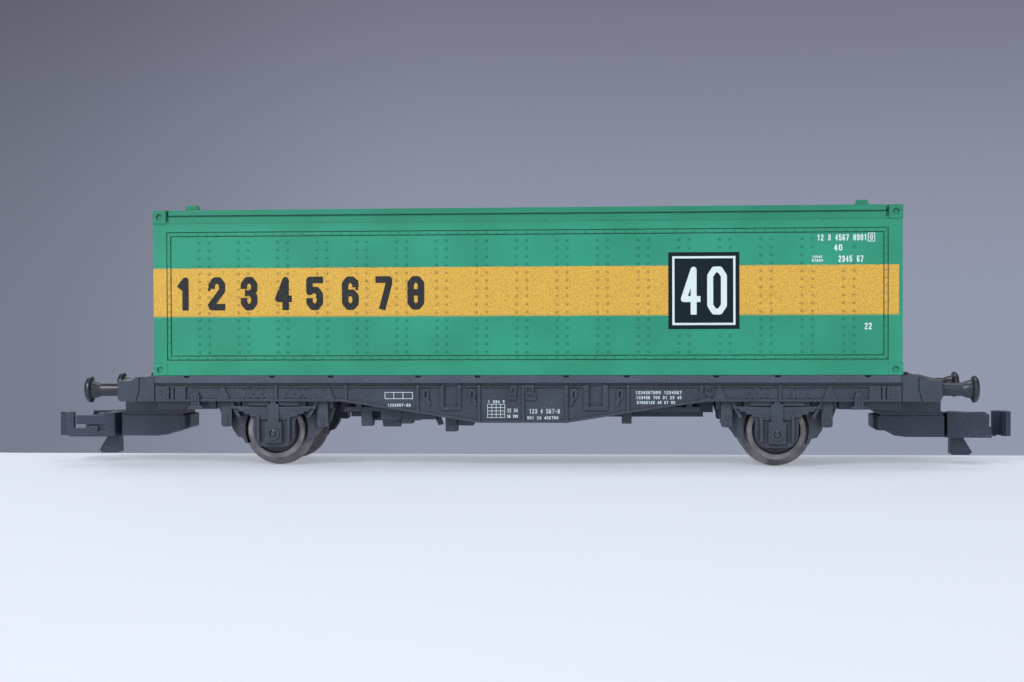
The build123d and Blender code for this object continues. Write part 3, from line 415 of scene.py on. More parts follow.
@dataclass(frozen=True)
class TurnedMetal:
    """Lathe-turned metal with fine rings about a Y axis.

    Attributes:
        name: Material name.
        colour: Bare metal colour.
        dull: Colour of the darkened metal.
        roughness: Roughness.
        centre_x_mm: Distance of the turning axis from the wagon's middle.
        centre_z_mm: Height of the turning axis.
        metallic: How much it reflects as metal.
        ring_pitch_mm: Distance between two turned rings.
        blackened_mm: Radius inside which the metal is blackened, or 0 for none.
    """

    name: str
    colour: Colour
    dull: Colour
    roughness: float
    centre_x_mm: float
    centre_z_mm: float
    metallic: float = 0.9
    ring_pitch_mm: float = 0.11
    blackened_mm: float = 0.0

    def build(self) -> bpy.types.Material:
        """Make the material."""
        graph = Graph(self.name)
        x, _, z = graph.xyz()
        across = graph.maths("SUBTRACT", graph.maths("ABSOLUTE", x), self.centre_x_mm * MM)
        up = graph.maths("SUBTRACT", z, self.centre_z_mm * MM)
        squares = graph.maths("MULTIPLY_ADD", across, across, graph.maths("MULTIPLY", up, up))
        radius = graph.maths("SQRT", squares)
        turns = graph.maths("MULTIPLY", radius, 2 * math.pi / (self.ring_pitch_mm * MM))
        rings = graph.maths("SINE", turns)
        stain = graph.noise(1.6, 4.0)
        metal = graph.mix(graph.rise(stain, 0.3, 0.7), self.colour, self.dull)
        rough = graph.maths("MULTIPLY_ADD", stain, 0.2, self.roughness - 0.1)
        shine: Value = self.metallic
        if self.blackened_mm:
            bare = graph.rise(radius, (self.blackened_mm - 0.04) * MM, (self.blackened_mm + 0.04) * MM)
            inside = graph.maths("SUBTRACT", 1.0, bare)
            metal = graph.mix(inside, metal, srgb(58, 65, 78))
            shine = graph.maths("MULTIPLY_ADD", inside, 0.15 - self.metallic, self.metallic)
        return graph.finish(Base_Color=metal, Roughness=rough, Metallic=shine,
                            Normal=graph.bump(rings, 0.004, 0.6, normal=graph.soft_normal(0.06)))


@dataclass(frozen=True)
class ContainerPaint:
    """Green moulded box with a yellow band printed along each side.

    Attributes:
        name: Material name.
        half_length_mm: Half the box's length.
        half_width_mm: Half the box's width.
        band_low_mm: Lower edge of the band.
        band_high_mm: Upper edge of the band.
        band_stop_mm: Bare stretch at the right end of the band.
        shade_top_mm: Where the green starts to darken towards the top as painted shade, above the band.
        green: Colour of the box.
        deep_green: The box's colour where it is clouded.
        yellow: Colour of the band.
        deep_yellow: The band's colour in its screened grain.
        edge_mm: Radius to which the shading rounds the edges.
        roughness: Mean roughness.
        rubbed: How much the print has rubbed off.
    """

    name: str
    half_length_mm: float
    half_width_mm: float
    band_low_mm: float
    band_high_mm: float
    band_stop_mm: float = 0.42
    shade_top_mm: tuple[float, float] = (3.6, 5.6)
    green: Colour = srgb(30, 150, 118)
    deep_green: Colour = srgb(25, 138, 108)
    yellow: Colour = srgb(226, 181, 70)
    deep_yellow: Colour = srgb(186, 138, 50)
    edge_mm: float = 0.06
    roughness: float = 0.46
    rubbed: float = 0.0

    def build(self) -> bpy.types.Material:
        """Make the material."""
        graph = Graph(self.name)
        x, y, z = graph.xyz()
        grain = graph.noise(0.10, 3.0)
        cloud = graph.noise(6.0, 4.0)
        green = graph.mix(graph.rise(cloud, 0.3, 0.7), self.deep_green, self.green)
        soft = graph.soft_normal(self.edge_mm)
        # painted highlight: the green is lightened along the edges
        green = graph.dab(green, graph.edges(soft), 0.30, srgb(104, 178, 154))
        # painted shade: the green darkens towards the top of the box
        top_shade = graph.rise(z, (self.band_high_mm + self.shade_top_mm[0]) * MM,
                             (self.band_high_mm + self.shade_top_mm[1]) * MM)
        green = graph.dab(green, top_shade, 0.35, srgb(18, 96, 76))
        # where the band is printed: between its wavy edges, along its run, on the outer side faces
        wobble = graph.maths("MULTIPLY_ADD", graph.noise(0.45, 2.0), 0.12 * MM, -0.06 * MM)
        level = graph.maths("ADD", z, wobble)
        band = graph.within(level, self.band_low_mm * MM, self.band_high_mm * MM, 0.05 * MM)
        rightward = graph.maths("MULTIPLY", graph.maths("SIGN", y), -1.0)
        run = graph.within(graph.maths("MULTIPLY", x, rightward), -(self.half_length_mm + 1.0) * MM,
                           (self.half_length_mm - self.band_stop_mm) * MM, 0.03 * MM)
        outside = graph.rise(graph.maths("ABSOLUTE", y), (self.half_width_mm - 0.42) * MM,
                             (self.half_width_mm - 0.36) * MM)
        outside = graph.maths("MULTIPLY", outside, graph.sideward())
        printed = graph.maths("MULTIPLY", graph.maths("MULTIPLY", band, run), outside)
        # the band's screened grain, where its print has rubbed off, and the green that shows through its
        # lower edge
        thin = graph.rise(graph.noise(0.12, 2.0), 0.38, 0.66)
        yellow = graph.dab(self.yellow, thin, 0.85, self.deep_yellow)
        yellow = graph.mix(self.rubbed, yellow, srgb(140, 118, 66))
        low_edge = graph.within(level, self.band_low_mm * MM, (self.band_low_mm + 0.16) * MM,
                                0.06 * MM)
        yellow = graph.dab(yellow, low_edge, 0.45, srgb(140, 140, 66))
        body = graph.mix(printed, green, yellow)
        # painted shade: crevices and slots are darkened, dark green off the band and dark brown on it
        deep = graph.mix(printed, srgb(12, 72, 58), srgb(120, 92, 36))
        body = graph.dab(body, graph.crevices(0.22), 0.55, deep)
        body = graph.dab(body, graph.upward(), 0.16, srgb(170, 176, 168))
        body = graph.dab(body, graph.specks(0.8, 0.12), 0.22, srgb(150, 190, 170))
        rough = graph.maths("MULTIPLY_ADD", cloud, 0.12, self.roughness - 0.06)
        return graph.finish(Base_Color=body, Roughness=rough, IOR=1.5,
                            Normal=graph.bump(grain, 0.008, normal=soft))


@dataclass(frozen=True)
class PrintedInk:
    """A thin layer of pad-printed ink with a slightly broken coat.

    Attributes:
        name: Material name.
        colour: Ink colour.
        under: Colour that shows where the coat is thin.
        grain_mm: Size of the pinholes in the coat.
        roughness: Roughness.
        gloss: Strength of the shine.
    """

    name: str
    colour: Colour
    under: Colour
    grain_mm: float = 0.13
    roughness: float = 0.5
    gloss: float = 0.5

    def build(self) -> bpy.types.Material:
        """Make the material."""
        graph = Graph(self.name)
        coat = graph.rise(graph.noise(self.grain_mm, 3.0), 0.58, 0.74)
        ink = graph.dab(self.colour, coat, 0.6, self.under)
        rough = graph.maths("MULTIPLY_ADD", coat, 0.15, self.roughness)
        return graph.finish(Base_Color=ink, Roughness=rough, Specular_IOR_Level=self.gloss,
                            Normal=graph.bump(coat, 0.003))


@dataclass(frozen=True)
class StudioSurface:
    """Plain matt surface for the floor, which the camera sees a little paler than it is.

    Attributes:
        name: Material name.
        colour: Surface colour.
        glow: Colour that is mixed in for what looks straight at it.
        glow_share: How much of it.
    """

    name: str
    colour: Colour
    glow: Colour
    glow_share: float = 0.35

    def build(self) -> bpy.types.Material:
        """Make the material."""
        graph = Graph(self.name)
        clouded = graph.mix(graph.noise(30.0, 2.0), self.colour, shade(self.colour, 1.03))
        material = graph.finish(Base_Color=clouded, Roughness=0.75)
        glow = graph.add("ShaderNodeEmission", {"Color": self.glow, "Strength": 1.0})
        share = graph.maths("MULTIPLY", graph.seen_directly(), self.glow_share)
        blend = graph.add("ShaderNodeMixShader", {0: share, 1: graph.shader.outputs["BSDF"],
                                                  2: glow.outputs[0]})
        graph.tree.links.new(blend.outputs[0], graph.output.inputs["Surface"])
        return material


@dataclass
class Palette:
    """Every finish of the wagon, built once.

    Attributes:
        band_mm: Heights of the band's edges above the box's base.
        bright_rim_mm: Width of the bright rim round each wheel's blackened face.
        made: The materials, by slot or by name.
    """

    band_mm: tuple[float, float] = (6.01, 11.01)
    bright_rim_mm: float = 0.66
    made: dict[str, bpy.types.Material] = field(default_factory=dict)

    def build(self) -> None:
        """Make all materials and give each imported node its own."""
        low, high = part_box("container_shell")
        wheel_low, wheel_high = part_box("wheel_a_near")
        axle = middle_of_axle()
        tread = (wheel_high.z - wheel_low.z) / 2 / MM - FLANGE_MM
        slate, worn_highlight = srgb(56, 64, 78), srgb(124, 133, 148)
        band = (high.x / MM, high.y / MM, *(low.z / MM + rise for rise in self.band_mm))
        finishes = {
            Slot.CONTAINER: ContainerPaint("container_green", *band),
            Slot.CONTAINER_FLOOR: MouldedPlastic("container_floor_green", srgb(36, 138, 108),
                                                 srgb(96, 178, 150)),
            Slot.FRAME: MouldedPlastic("frame_slate", slate, worn_highlight),
            Slot.DECK: MouldedPlastic("deck_slate", srgb(70, 79, 94), worn_highlight, grain_mm=0.09),
            Slot.RUNNING_GEAR: MouldedPlastic("running_gear_slate", srgb(58, 66, 79), worn_highlight,
                                              roughness=0.5),
            Slot.COUPLER: MouldedPlastic("coupler_slate", srgb(51, 60, 78), srgb(112, 122, 140),
                                         roughness=0.36, grain_depth_mm=0.005, dust=0.06, edge_mm=0.1),
            Slot.BUFFER: MouldedPlastic("buffer_black", srgb(44, 50, 60), srgb(96, 102, 112),
                                        roughness=0.32, grain_depth_mm=0.002, wear_and_highlight=0.3, dust=0.03,
                                        edge_mm=0.09),
            Slot.WHEEL: TurnedMetal("wheel_metal", srgb(146, 144, 146), srgb(104, 103, 108), 0.46,
                                    *axle, metallic=0.55, blackened_mm=tread - self.bright_rim_mm),
            Slot.AXLE: TurnedMetal("axle_steel", srgb(168, 166, 162), srgb(110, 106, 102), 0.35, *axle),
            Slot.BUSH: MouldedPlastic("bush_black", srgb(32, 32, 34), srgb(80, 80, 84)),
            Slot.WEIGHT: TurnedMetal("weight_steel", srgb(160, 160, 163), srgb(120, 116, 112), 0.5,
                                     0.0, 0.0),
            Slot.SPRING: TurnedMetal("spring_steel", srgb(176, 176, 178), srgb(130, 128, 126), 0.3,
                                     0.0, 0.0),
        }
        self.made = {slot.value: finish.build() for slot, finish in finishes.items()}
        others = {
            # the rivet heads' green is darker than the box's, as painted shade; their band print is
            # rubbed
            "rivet_shaded_green": ContainerPaint("rivet_shaded_green", *band, green=srgb(26, 137, 108),
                                          deep_green=srgb(22, 126, 98), edge_mm=0.01, roughness=0.3,
                                          rubbed=0.42),
            "white_ink": PrintedInk("white_ink", srgb(214, 230, 232), srgb(150, 176, 176), 0.09),
            "black_ink": PrintedInk("black_ink", srgb(34, 37, 40), srgb(118, 114, 100), 0.11, 0.6, 0.3),
            "plate_ink": PrintedInk("plate_ink", srgb(12, 30, 35), srgb(40, 56, 62), 0.11, 0.6, 0.15),
            "floor": StudioSurface("floor_pale", srgb(222, 229, 243), srgb(238, 243, 255)),
        }
        self.made |= {name: finish.build() for name, finish in others.items()}
        slots = {part["node"]: part["material_slot"] for part in frame["record"]["subparts"]}
        for name, node in frame["nodes"].items():
            node.data.materials.clear()
            node.data.materials.append(self.made[slots[name]])
        LOG.info("palette: %d finishes on %d nodes", len(self.made), len(frame["nodes"]))

    def of(self, *names: str) -> list[bpy.types.Material]:
        """The materials of these names."""
        return [self.made[name] for name in names]


def settle(name: str, shape: bmesh.types.BMesh, body: str,
           materials: Sequence[bpy.types.Material], smooth_deg: float = 30.0) -> bpy.types.Object:
    """Turn a finished bmesh into a piece that rides on a body.

    Args:
        name: The piece's name.
        shape: Its shape, in place, in metres. It is freed.
        body: The body it moves with.
        materials: Its materials, in order of the faces' indices.
        smooth_deg: Edges that turn by more than this stay sharp.

    Returns:
        The new object.
    """
    mesh = bpy.data.meshes.new(name)
    shape.to_mesh(mesh)
    shape.free()
    mesh.shade_smooth()
    mesh.set_sharp_from_angle(angle=math.radians(smooth_deg))
    piece = bpy.data.objects.new(name, mesh)
    bpy.context.scene.collection.objects.link(piece)
    for material in materials:
        mesh.materials.append(material)
    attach(piece, body)
    LOG.info("%s: %d faces on %s", name, len(mesh.polygons), body)
    return piece


def turned(side: Side) -> Matrix:
    """The turn that takes what is made for the near side to the given side."""
    return Matrix.Identity(4) if side is Side.NEAR else Matrix.Rotation(math.pi, 4, "Z")


def upright(side: Side, out_mm: float) -> Matrix:
    """A matrix that stands a drawing on a long side.

    Args:
        side: The side.
        out_mm: How far from the wagon's middle the drawing lies.

    Returns:
        What takes millimetres on a flat sheet, X along and Y up, to metres on that side.
    """
    stand = Matrix.Translation((0, -out_mm * MM, 0)) @ Matrix.Rotation(math.radians(90), 4, "X")
    return turned(side) @ stand @ Matrix.Scale(MM, 4)


class Stamp:
    """A small closed shape that is pressed many times into a larger one."""

    def __init__(self, name: str, shape: bmesh.types.BMesh) -> None:
        """Keep a shape.

        Args:
            name: Its name.
            shape: The shape, in millimetres. It is freed.
        """
        self.mesh = bpy.data.meshes.new(name)
        shape.to_mesh(self.mesh)
        shape.free()

    def press(self, target: bmesh.types.BMesh, place: Matrix, material: int = 0) -> None:
        """Add one copy.

        Args:
            target: The bmesh that gets it.
            place: Where it goes.
            material: Index of its material.
        """
        copy = self.mesh.copy()
        copy.transform(place)
        if material:
            copy.polygons.foreach_set("material_index", [material] * len(copy.polygons))
        target.from_mesh(copy)
        bpy.data.meshes.remove(copy)

    def stud(self, target: bmesh.types.BMesh, wall: Matrix, x: float, z: float,
             material: int = 0) -> None:
        """Press one copy onto a wall at x and z, let in so that its back doesn't show."""
        self.press(target, wall @ Matrix.Translation((x, z, -LET_IN_MM)), material)

    @classmethod
    def rivet(cls, name: str, radius_mm: float, rise_mm: float) -> "Stamp":
        """A domed rivet head with a flat back, standing on Z = 0.

        Args:
            name: Its name.
            radius_mm: Its radius.
            rise_mm: Its height.

        Returns:
            The stamp.
        """
        shape = bmesh.new()
        bmesh.ops.create_uvsphere(shape, u_segments=9, v_segments=6, radius=1.0)
        bmesh.ops.bisect_plane(shape, geom=shape.verts[:] + shape.edges[:] + shape.faces[:], dist=1e-4,
                               plane_co=(0, 0, 0), plane_no=(0, 0, -1), clear_outer=True)
        bmesh.ops.holes_fill(shape, edges=[edge for edge in shape.edges if edge.is_boundary])
        bmesh.ops.scale(shape, vec=(radius_mm, radius_mm, rise_mm), verts=shape.verts)
        return cls(name, shape)

    @classmethod
    def bar(cls) -> "Stamp":
        """A unit cube."""
        shape = bmesh.new()
        bmesh.ops.create_cube(shape, size=1.0)
        return cls("bar", shape)

    @classmethod
    def disc(cls) -> "Stamp":
        """A unit disc, one thick."""
        shape = bmesh.new()
        bmesh.ops.create_cone(shape, cap_ends=True, segments=12, radius1=0.5, radius2=0.5, depth=1.0)
        return cls("disc", shape)


@dataclass(frozen=True)
class Row:
    """A row of digits: its text, its left and lower edge, its size and its strokes' width."""

    text: str
    left: float
    low: float
    width: float
    height: float
    pen: float = 0.055


@dataclass
class Pen:
    """Writes plain digits and bars in ink, on a flat sheet in millimetres.

    Attributes:
        thickness_mm: Thickness of the ink.
        layer_mm: Step between the heights of two presses, so that no two faces coincide.
        layers: Number of such heights.
        sheet: The sheet that is being written on.
        place: Where that sheet will lie.
        strokes: The strokes on it, as start, end and half the width.
        ink: Index of the ink's material.
        count: Number of presses so far.
    """

    thickness_mm: float = 0.013
    layer_mm: float = 0.0004
    layers: int = 31
    sheet: bmesh.types.BMesh = field(default_factory=bmesh.new)
    place: Matrix = field(default_factory=Matrix)
    strokes: Strokes = field(default_factory=list)
    ink: int = 0
    count: int = 0

    def __post_init__(self) -> None:
        """Cut the two shapes that every stroke is made of."""
        self.bar_stamp, self.disc_stamp = Stamp.bar(), Stamp.disc()

    def start(self, place: Matrix) -> bmesh.types.BMesh:
        """Take a clean sheet that will lie at a place, and return it."""
        self.sheet, self.place, self.strokes = bmesh.new(), place, []
        return self.sheet

    def _press(self, stamp: Stamp, centre: Vector, angle: float, length: float, width: float) -> None:
        """Put one shape down.

        Args:
            stamp: The shape.
            centre: Its centre.
            angle: Its turn.
            length: Its length.
            width: Its width.
        """
        self.count += 1
        lift = (self.count % self.layers) * self.layer_mm
        local = (Matrix.Translation((centre.x, centre.y, lift)) @ Matrix.Rotation(angle, 4, "Z")
                 @ Matrix.Diagonal((length, width, self.thickness_mm, 1)))
        stamp.press(self.sheet, self.place @ local, self.ink)

    def bar(self, left: float, low: float, width: float, height: float) -> None:
        """A plain bar, given by its lower left corner and its size."""
        centre = Vector((left + width / 2, low + height / 2))
        self._press(self.bar_stamp, centre, 0.0, width, height)

    def box(self, left: float, low: float, width: float, height: float, line: float) -> None:
        """Four bars round a box.

        Args:
            left: Left edge.
            low: Lower edge.
            width: Width of the box.
            height: Height of the box.
            line: Width of the bars.
        """
        self.bar(left, low, width, line)
        self.bar(left, low + height - line, width, line)
        self.bar(left, low + line, line, height - 2 * line)
        self.bar(left + width - line, low + line, line, height - 2 * line)

    def stroke(self, points: Sequence[Vector], width: float) -> None:
        """A line with round corners and square ends.

        Args:
            points: The points it runs through. It is closed if the last is the first.
            width: Its width.
        """
        closed = (points[0] - points[-1]).length < 1e-6
        for point in points[1:] if closed else points[1:-1]:
            self._press(self.disc_stamp, point, 0.0, width, width)
        last = len(points) - 2
        for index, (start, end) in enumerate(zip(points, points[1:])):
            run = (end - start).normalized()
            first = start if closed or index else start - run * width / 2
            final = end if closed or index < last else end + run * width / 2
            self._press(self.bar_stamp, (first + final) / 2, math.atan2(run.y, run.x),
                        (final - first).length, width)
            self.strokes.append((first, final, width / 2))

    def write(self, row: Row, base: float, gap: float = 0.3) -> None:
        """Write a row of digits.

        Args:
            row: The row.
            base: Height that the row's own height is counted from.
            gap: Space between two digits, as a share of a digit's width.
        """
        cell = row.width / (len(row.text) + gap * (len(row.text) - 1))
        for index, sign in enumerate(row.text):
            start = row.left + index * cell * (1 + gap) + row.pen / 2
            low = base + row.low + row.pen / 2
            for line in DIGITS.get(sign, ()):
                self.stroke([Vector((start + x * (cell - row.pen), low + y * (row.height - row.pen)))
                             for x, y in line], row.pen)


def under_strokes(strokes: Strokes, point: Vector, margin: float) -> bool:
    """Tell whether a point of a sheet is under ink.

    Args:
        strokes: The strokes on the sheet.
        point: The point.
        margin: How far from a stroke still counts.

    Returns:
        Whether it is.
    """
    for start, end, reach in strokes:
        near, share = intersect_point_line(point, start, end)
        near = start if share < 0 else end if share > 1 else near
        if (near.to_2d() - point).length < reach + margin:
            return True
    return False


@dataclass
class ContainerDress:
    """Rivets and print of the container. Heights are counted from the box's base.

    Attributes:
        palette: The finishes.
        pen: What writes the print.
        column_pairs: Pairs of rivet columns on each side.
        pair_gap_mm: Distance between the two columns of a pair.
        outer_pair_mm: Distance of the outermost pair from the middle.
        rows: Rivets in a column.
        row_pitch_mm: Distance between rows.
        first_row_mm: Height of the lowest row.
        strip_pitch_x_mm: Distance between the rivets of a level strip.
        strip_pitch_z_mm: Distance between the rivets of an upright strip.
        wall_recess_mm: How far a wall lies inside the castings' faces.
        strip_rise_mm: How far a side's strips stand off its wall.
        strip_inset_mm: Distance of the upright strips from the corner.
        strip_low_mm: Height of the lower strip.
        strip_high_mm: Height of the upper strip.
        end_recess_mm: How far the plain end lies inside the castings' faces.
        end_strip_rise_mm: How far its strips stand off it.
        end_posts: Number of riveted uprights on it.
        end_post_pitch_mm: Distance between them.
        lid_top_mm: Height of the lid's upper face.
        lid_rivets: Rivets in a row across the lid.
        lid_inset_mm: Distance of the outermost ones from the lid's edge.
        plate: Left and lower edge, width and height of the dark plate.
        plate_clear_mm: Bare margin round it.
        plate_frame_mm: Inset and width of its white frame.
        plate_number: The number on it.
        plate_ink_rise_mm: How far its print stands off the wall.
        digits: The digits on the band, and digit_lefts, digit_low, digit_size and digit_pen
            their left edges, lower edge, size and strokes' width.
        fine_rows: Small print at the upper right.
        check_box: Left and lower edge, width, height and line of the box at its end.
        check_digit: The digit in that box.
        fine_clear_mm: Distance of the nearest rivet to small print.
        inked_margin_mm: How far past a stroke a rivet's middle may lie and still be inked.
    """

    palette: Palette
    pen: Pen
    column_pairs: int = 17
    pair_gap_mm: float = 1.03
    outer_pair_mm: float = 32.72
    rows: int = 15
    row_pitch_mm: float = 0.805
    first_row_mm: float = 2.40
    strip_pitch_x_mm: float = 1.0
    strip_pitch_z_mm: float = 0.81
    wall_recess_mm: float = 0.08
    strip_rise_mm: float = 0.03
    strip_inset_mm: float = 1.70
    strip_low_mm: float = 1.79
    strip_high_mm: float = 14.49
    end_recess_mm: float = 0.17
    end_strip_rise_mm: float = 0.06
    end_posts: int = 4
    end_post_pitch_mm: float = 2.6
    lid_top_mm: float = 17.0
    lid_rivets: int = 14
    lid_inset_mm: float = 1.9
    plate: tuple[float, float, float, float] = (14.8, 4.63, 7.11, 7.72)
    plate_clear_mm: float = 0.2
    plate_frame_mm: tuple[float, float] = (0.4, 0.22)
    plate_number: Row = Row("40", 16.05, 6.08, 4.61, 4.82, 0.6)
    plate_ink_rise_mm: float = 0.018
    digits: str = "12345678"
    digit_lefts: tuple[float, ...] = (-35.67, -32.27, -28.91, -25.35, -22.1, -18.41, -14.95, -11.67)
    digit_low: float = 6.69
    digit_size: tuple[float, float] = (1.75, 3.42)
    digit_pen: float = 0.68
    fine_rows: tuple[Row, ...] = (
        Row("12 3 4567 8901", 29.62, 13.42, 4.9, 0.63, 0.10), Row("40", 31.28, 12.4, 0.82, 0.66, 0.12),
        Row("2345 67", 31.72, 11.27, 2.45, 0.66, 0.11), Row("12345", 29.1, 11.68, 1.0, 0.26),
        Row("67890", 29.1, 11.3, 1.1, 0.28, 0.06), Row("22", 34.3, 4.55, 0.7, 0.66, 0.11))
    check_box: tuple[float, ...] = (34.62, 13.3, 0.7, 0.88, 0.08)
    check_digit: Row = Row("0", 34.84, 13.47, 0.27, 0.54, 0.09)
    fine_clear_mm: float = 0.2
    inked_margin_mm: float = -0.04

    def __post_init__(self) -> None:
        """Read the box's size from the frame and cut the rivet heads."""
        low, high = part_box("container_shell")
        self.half_length, self.half_width = high.x / MM, high.y / MM
        self.base = low.z / MM
        self.wall = self.half_width - self.wall_recess_mm
        self.wall_rivet = Stamp.rivet("wall_rivet", radius_mm=0.17, rise_mm=0.082)
        self.strip_rivet = Stamp.rivet("strip_rivet", radius_mm=0.14, rise_mm=0.05)

    def add(self, name: str, shape: bmesh.types.BMesh, *finishes: str, smooth_deg: float = 30.0) -> None:
        """Settle a piece of the container."""
        settle(name, shape, "container", self.palette.of(*finishes), smooth_deg)

    def columns(self) -> Iterable[float]:
        """Where the columns of rivets stand along the box, in pairs."""
        pitch = 2 * self.outer_pair_mm / (self.column_pairs - 1)
        for pair in range(self.column_pairs):
            centre = -self.outer_pair_mm + pair * pitch
            yield from (centre - self.pair_gap_mm / 2, centre + self.pair_gap_mm / 2)

    def wall_places(self) -> Iterable[tuple[float, float]]:
        """Where the rivets of the wall sit, as X and height."""
        for x in self.columns():
            for row in range(self.rows):
                z = self.first_row_mm + row * self.row_pitch_mm
                if not self.under_plate(x, z):
                    yield x, self.base + z

    def under_plate(self, x: float, z: float) -> bool:
        """Tell whether a place is under the dark plate or its margin.

        Args:
            x: Its distance from the middle.
            z: Its height above the box's base.

        Returns:
            Whether it is.
        """
        left, low, width, height = self.plate
        return (-self.plate_clear_mm < x - left < width + self.plate_clear_mm
                and -self.plate_clear_mm < z - low < height + self.plate_clear_mm)

    def strip_levels(self) -> list[float]:
        """Heights of an upright strip's rivets, without its two ends."""
        rise = self.strip_high_mm - self.strip_low_mm
        count = round(rise / self.strip_pitch_z_mm)
        return [self.base + self.strip_low_mm + index * rise / count for index in range(1, count)]

    def strip_places(self, half_span: float) -> Iterable[tuple[float, float]]:
        """Where the rivets of a riveted frame sit.

        Args:
            half_span: Distance of its uprights from its middle.

        Returns:
            Distances along the wall and heights.
        """
        count = round(2 * half_span / self.strip_pitch_x_mm)
        for z in (self.base + self.strip_low_mm, self.base + self.strip_high_mm):
            for index in range(count + 1):
                yield -half_span + index * 2 * half_span / count, z
        for x in (-half_span, half_span):
            for z in self.strip_levels():
                yield x, z

    def rivet_side(self, side: Side, black: Strokes, fine: Strokes) -> None:
        """Rivet one long side.

        Args:
            side: The side.
            black: Strokes that ink the heads under them.
            fine: Strokes that are too fine to carry a head, so that none sits there.
        """
        shape = bmesh.new()
        wall = upright(side, self.wall)
        for x, z in self.wall_places():
            if not under_strokes(fine, Vector((x, z)), self.fine_clear_mm):
                inked = under_strokes(black, Vector((x, z)), self.inked_margin_mm)
                self.wall_rivet.stud(shape, wall, x, z, int(inked))
        strip = upright(side, self.wall + self.strip_rise_mm)
        for x, z in self.strip_places(self.half_length - self.strip_inset_mm):
            self.strip_rivet.stud(shape, strip, x, z)
        self.add(f"container_rivets_{side.name.lower()}", shape, "rivet_shaded_green", "black_ink",
                 smooth_deg=RIVET_SMOOTH_DEG)

    def rivet_plain_end(self) -> None:
        """Rivet the frame and the uprights of the plain end."""
        shape = bmesh.new()
        out = self.half_length - self.end_recess_mm + self.end_strip_rise_mm
        stand = (Matrix.Translation((-out * MM, 0, 0)) @ Matrix.Rotation(math.radians(-90), 4, "Z")
                 @ Matrix.Rotation(math.radians(90), 4, "X") @ Matrix.Scale(MM, 4))
        places = list(self.strip_places(self.half_width - self.strip_inset_mm))
        for post in range(self.end_posts):
            y = (post - (self.end_posts - 1) / 2) * self.end_post_pitch_mm
            places += [(y, z) for z in self.strip_levels()]
        for y, z in places:
            self.strip_rivet.stud(shape, stand, y, z)
        self.add("container_rivets_plain_end", shape, "rivet_shaded_green", smooth_deg=RIVET_SMOOTH_DEG)

    def rivet_lid(self) -> None:
        """Rivet the lid in pairs of rows that line up with the walls' columns."""
        shape = bmesh.new()
        lid = Matrix.Scale(MM, 4) @ Matrix.Translation((0, 0, self.base + self.lid_top_mm))
        half_span = self.half_width - self.lid_inset_mm
        for x in self.columns():
            for index in range(self.lid_rivets):
                y = -half_span + index * 2 * half_span / (self.lid_rivets - 1)
                self.wall_rivet.stud(shape, lid, x, y)
        self.add("container_rivets_lid", shape, "rivet_shaded_green", smooth_deg=RIVET_SMOOTH_DEG)

    def print_black(self, side: Side) -> Strokes:
        """Print the large digits on the band, and the dark plate.

        Args:
            side: The side.

        Returns:
            The digits' strokes.
        """
        sheet = self.pen.start(upright(side, self.wall))
        for digit, left in zip(self.digits, self.digit_lefts):
            row = Row(digit, left, self.digit_low, *self.digit_size, self.digit_pen)
            self.pen.write(row, self.base)
        left, low, width, height = self.plate
        self.pen.ink = 1
        self.pen.bar(left, self.base + low, width, height)
        self.pen.ink = 0
        self.add(f"container_black_print_{side.name.lower()}", sheet, "black_ink", "plate_ink")
        return self.pen.strokes

    def print_white(self, side: Side) -> Strokes:
        """Print the small digits at the upper right, and the plate's frame and number.

        Args:
            side: The side.

        Returns:
            The small digits' strokes.
        """
        sheet = self.pen.start(upright(side, self.wall))
        for row in self.fine_rows:
            self.pen.write(row, self.base, gap=0.32)
        left, low, width, height, line = self.check_box
        self.pen.box(left, self.base + low, width, height, line)
        self.pen.write(self.check_digit, self.base)
        self.add(f"container_white_print_{side.name.lower()}", sheet, "white_ink")
        fine = self.pen.strokes
        sheet = self.pen.start(upright(side, self.wall + self.plate_ink_rise_mm))
        left, low, width, height = self.plate
        inset, line = self.plate_frame_mm
        self.pen.box(left + inset, self.base + low + inset, width - 2 * inset, height - 2 * inset, line)
        self.pen.write(self.plate_number, self.base, gap=0.34)
        self.add(f"plate_white_print_{side.name.lower()}", sheet, "white_ink")
        return fine

    def build(self) -> None:
        """Print and rivet the whole box."""
        for side in Side:
            black = self.print_black(side)
            fine = self.print_white(side)
            self.rivet_side(side, black, fine)
        self.rivet_plain_end()
        self.rivet_lid()


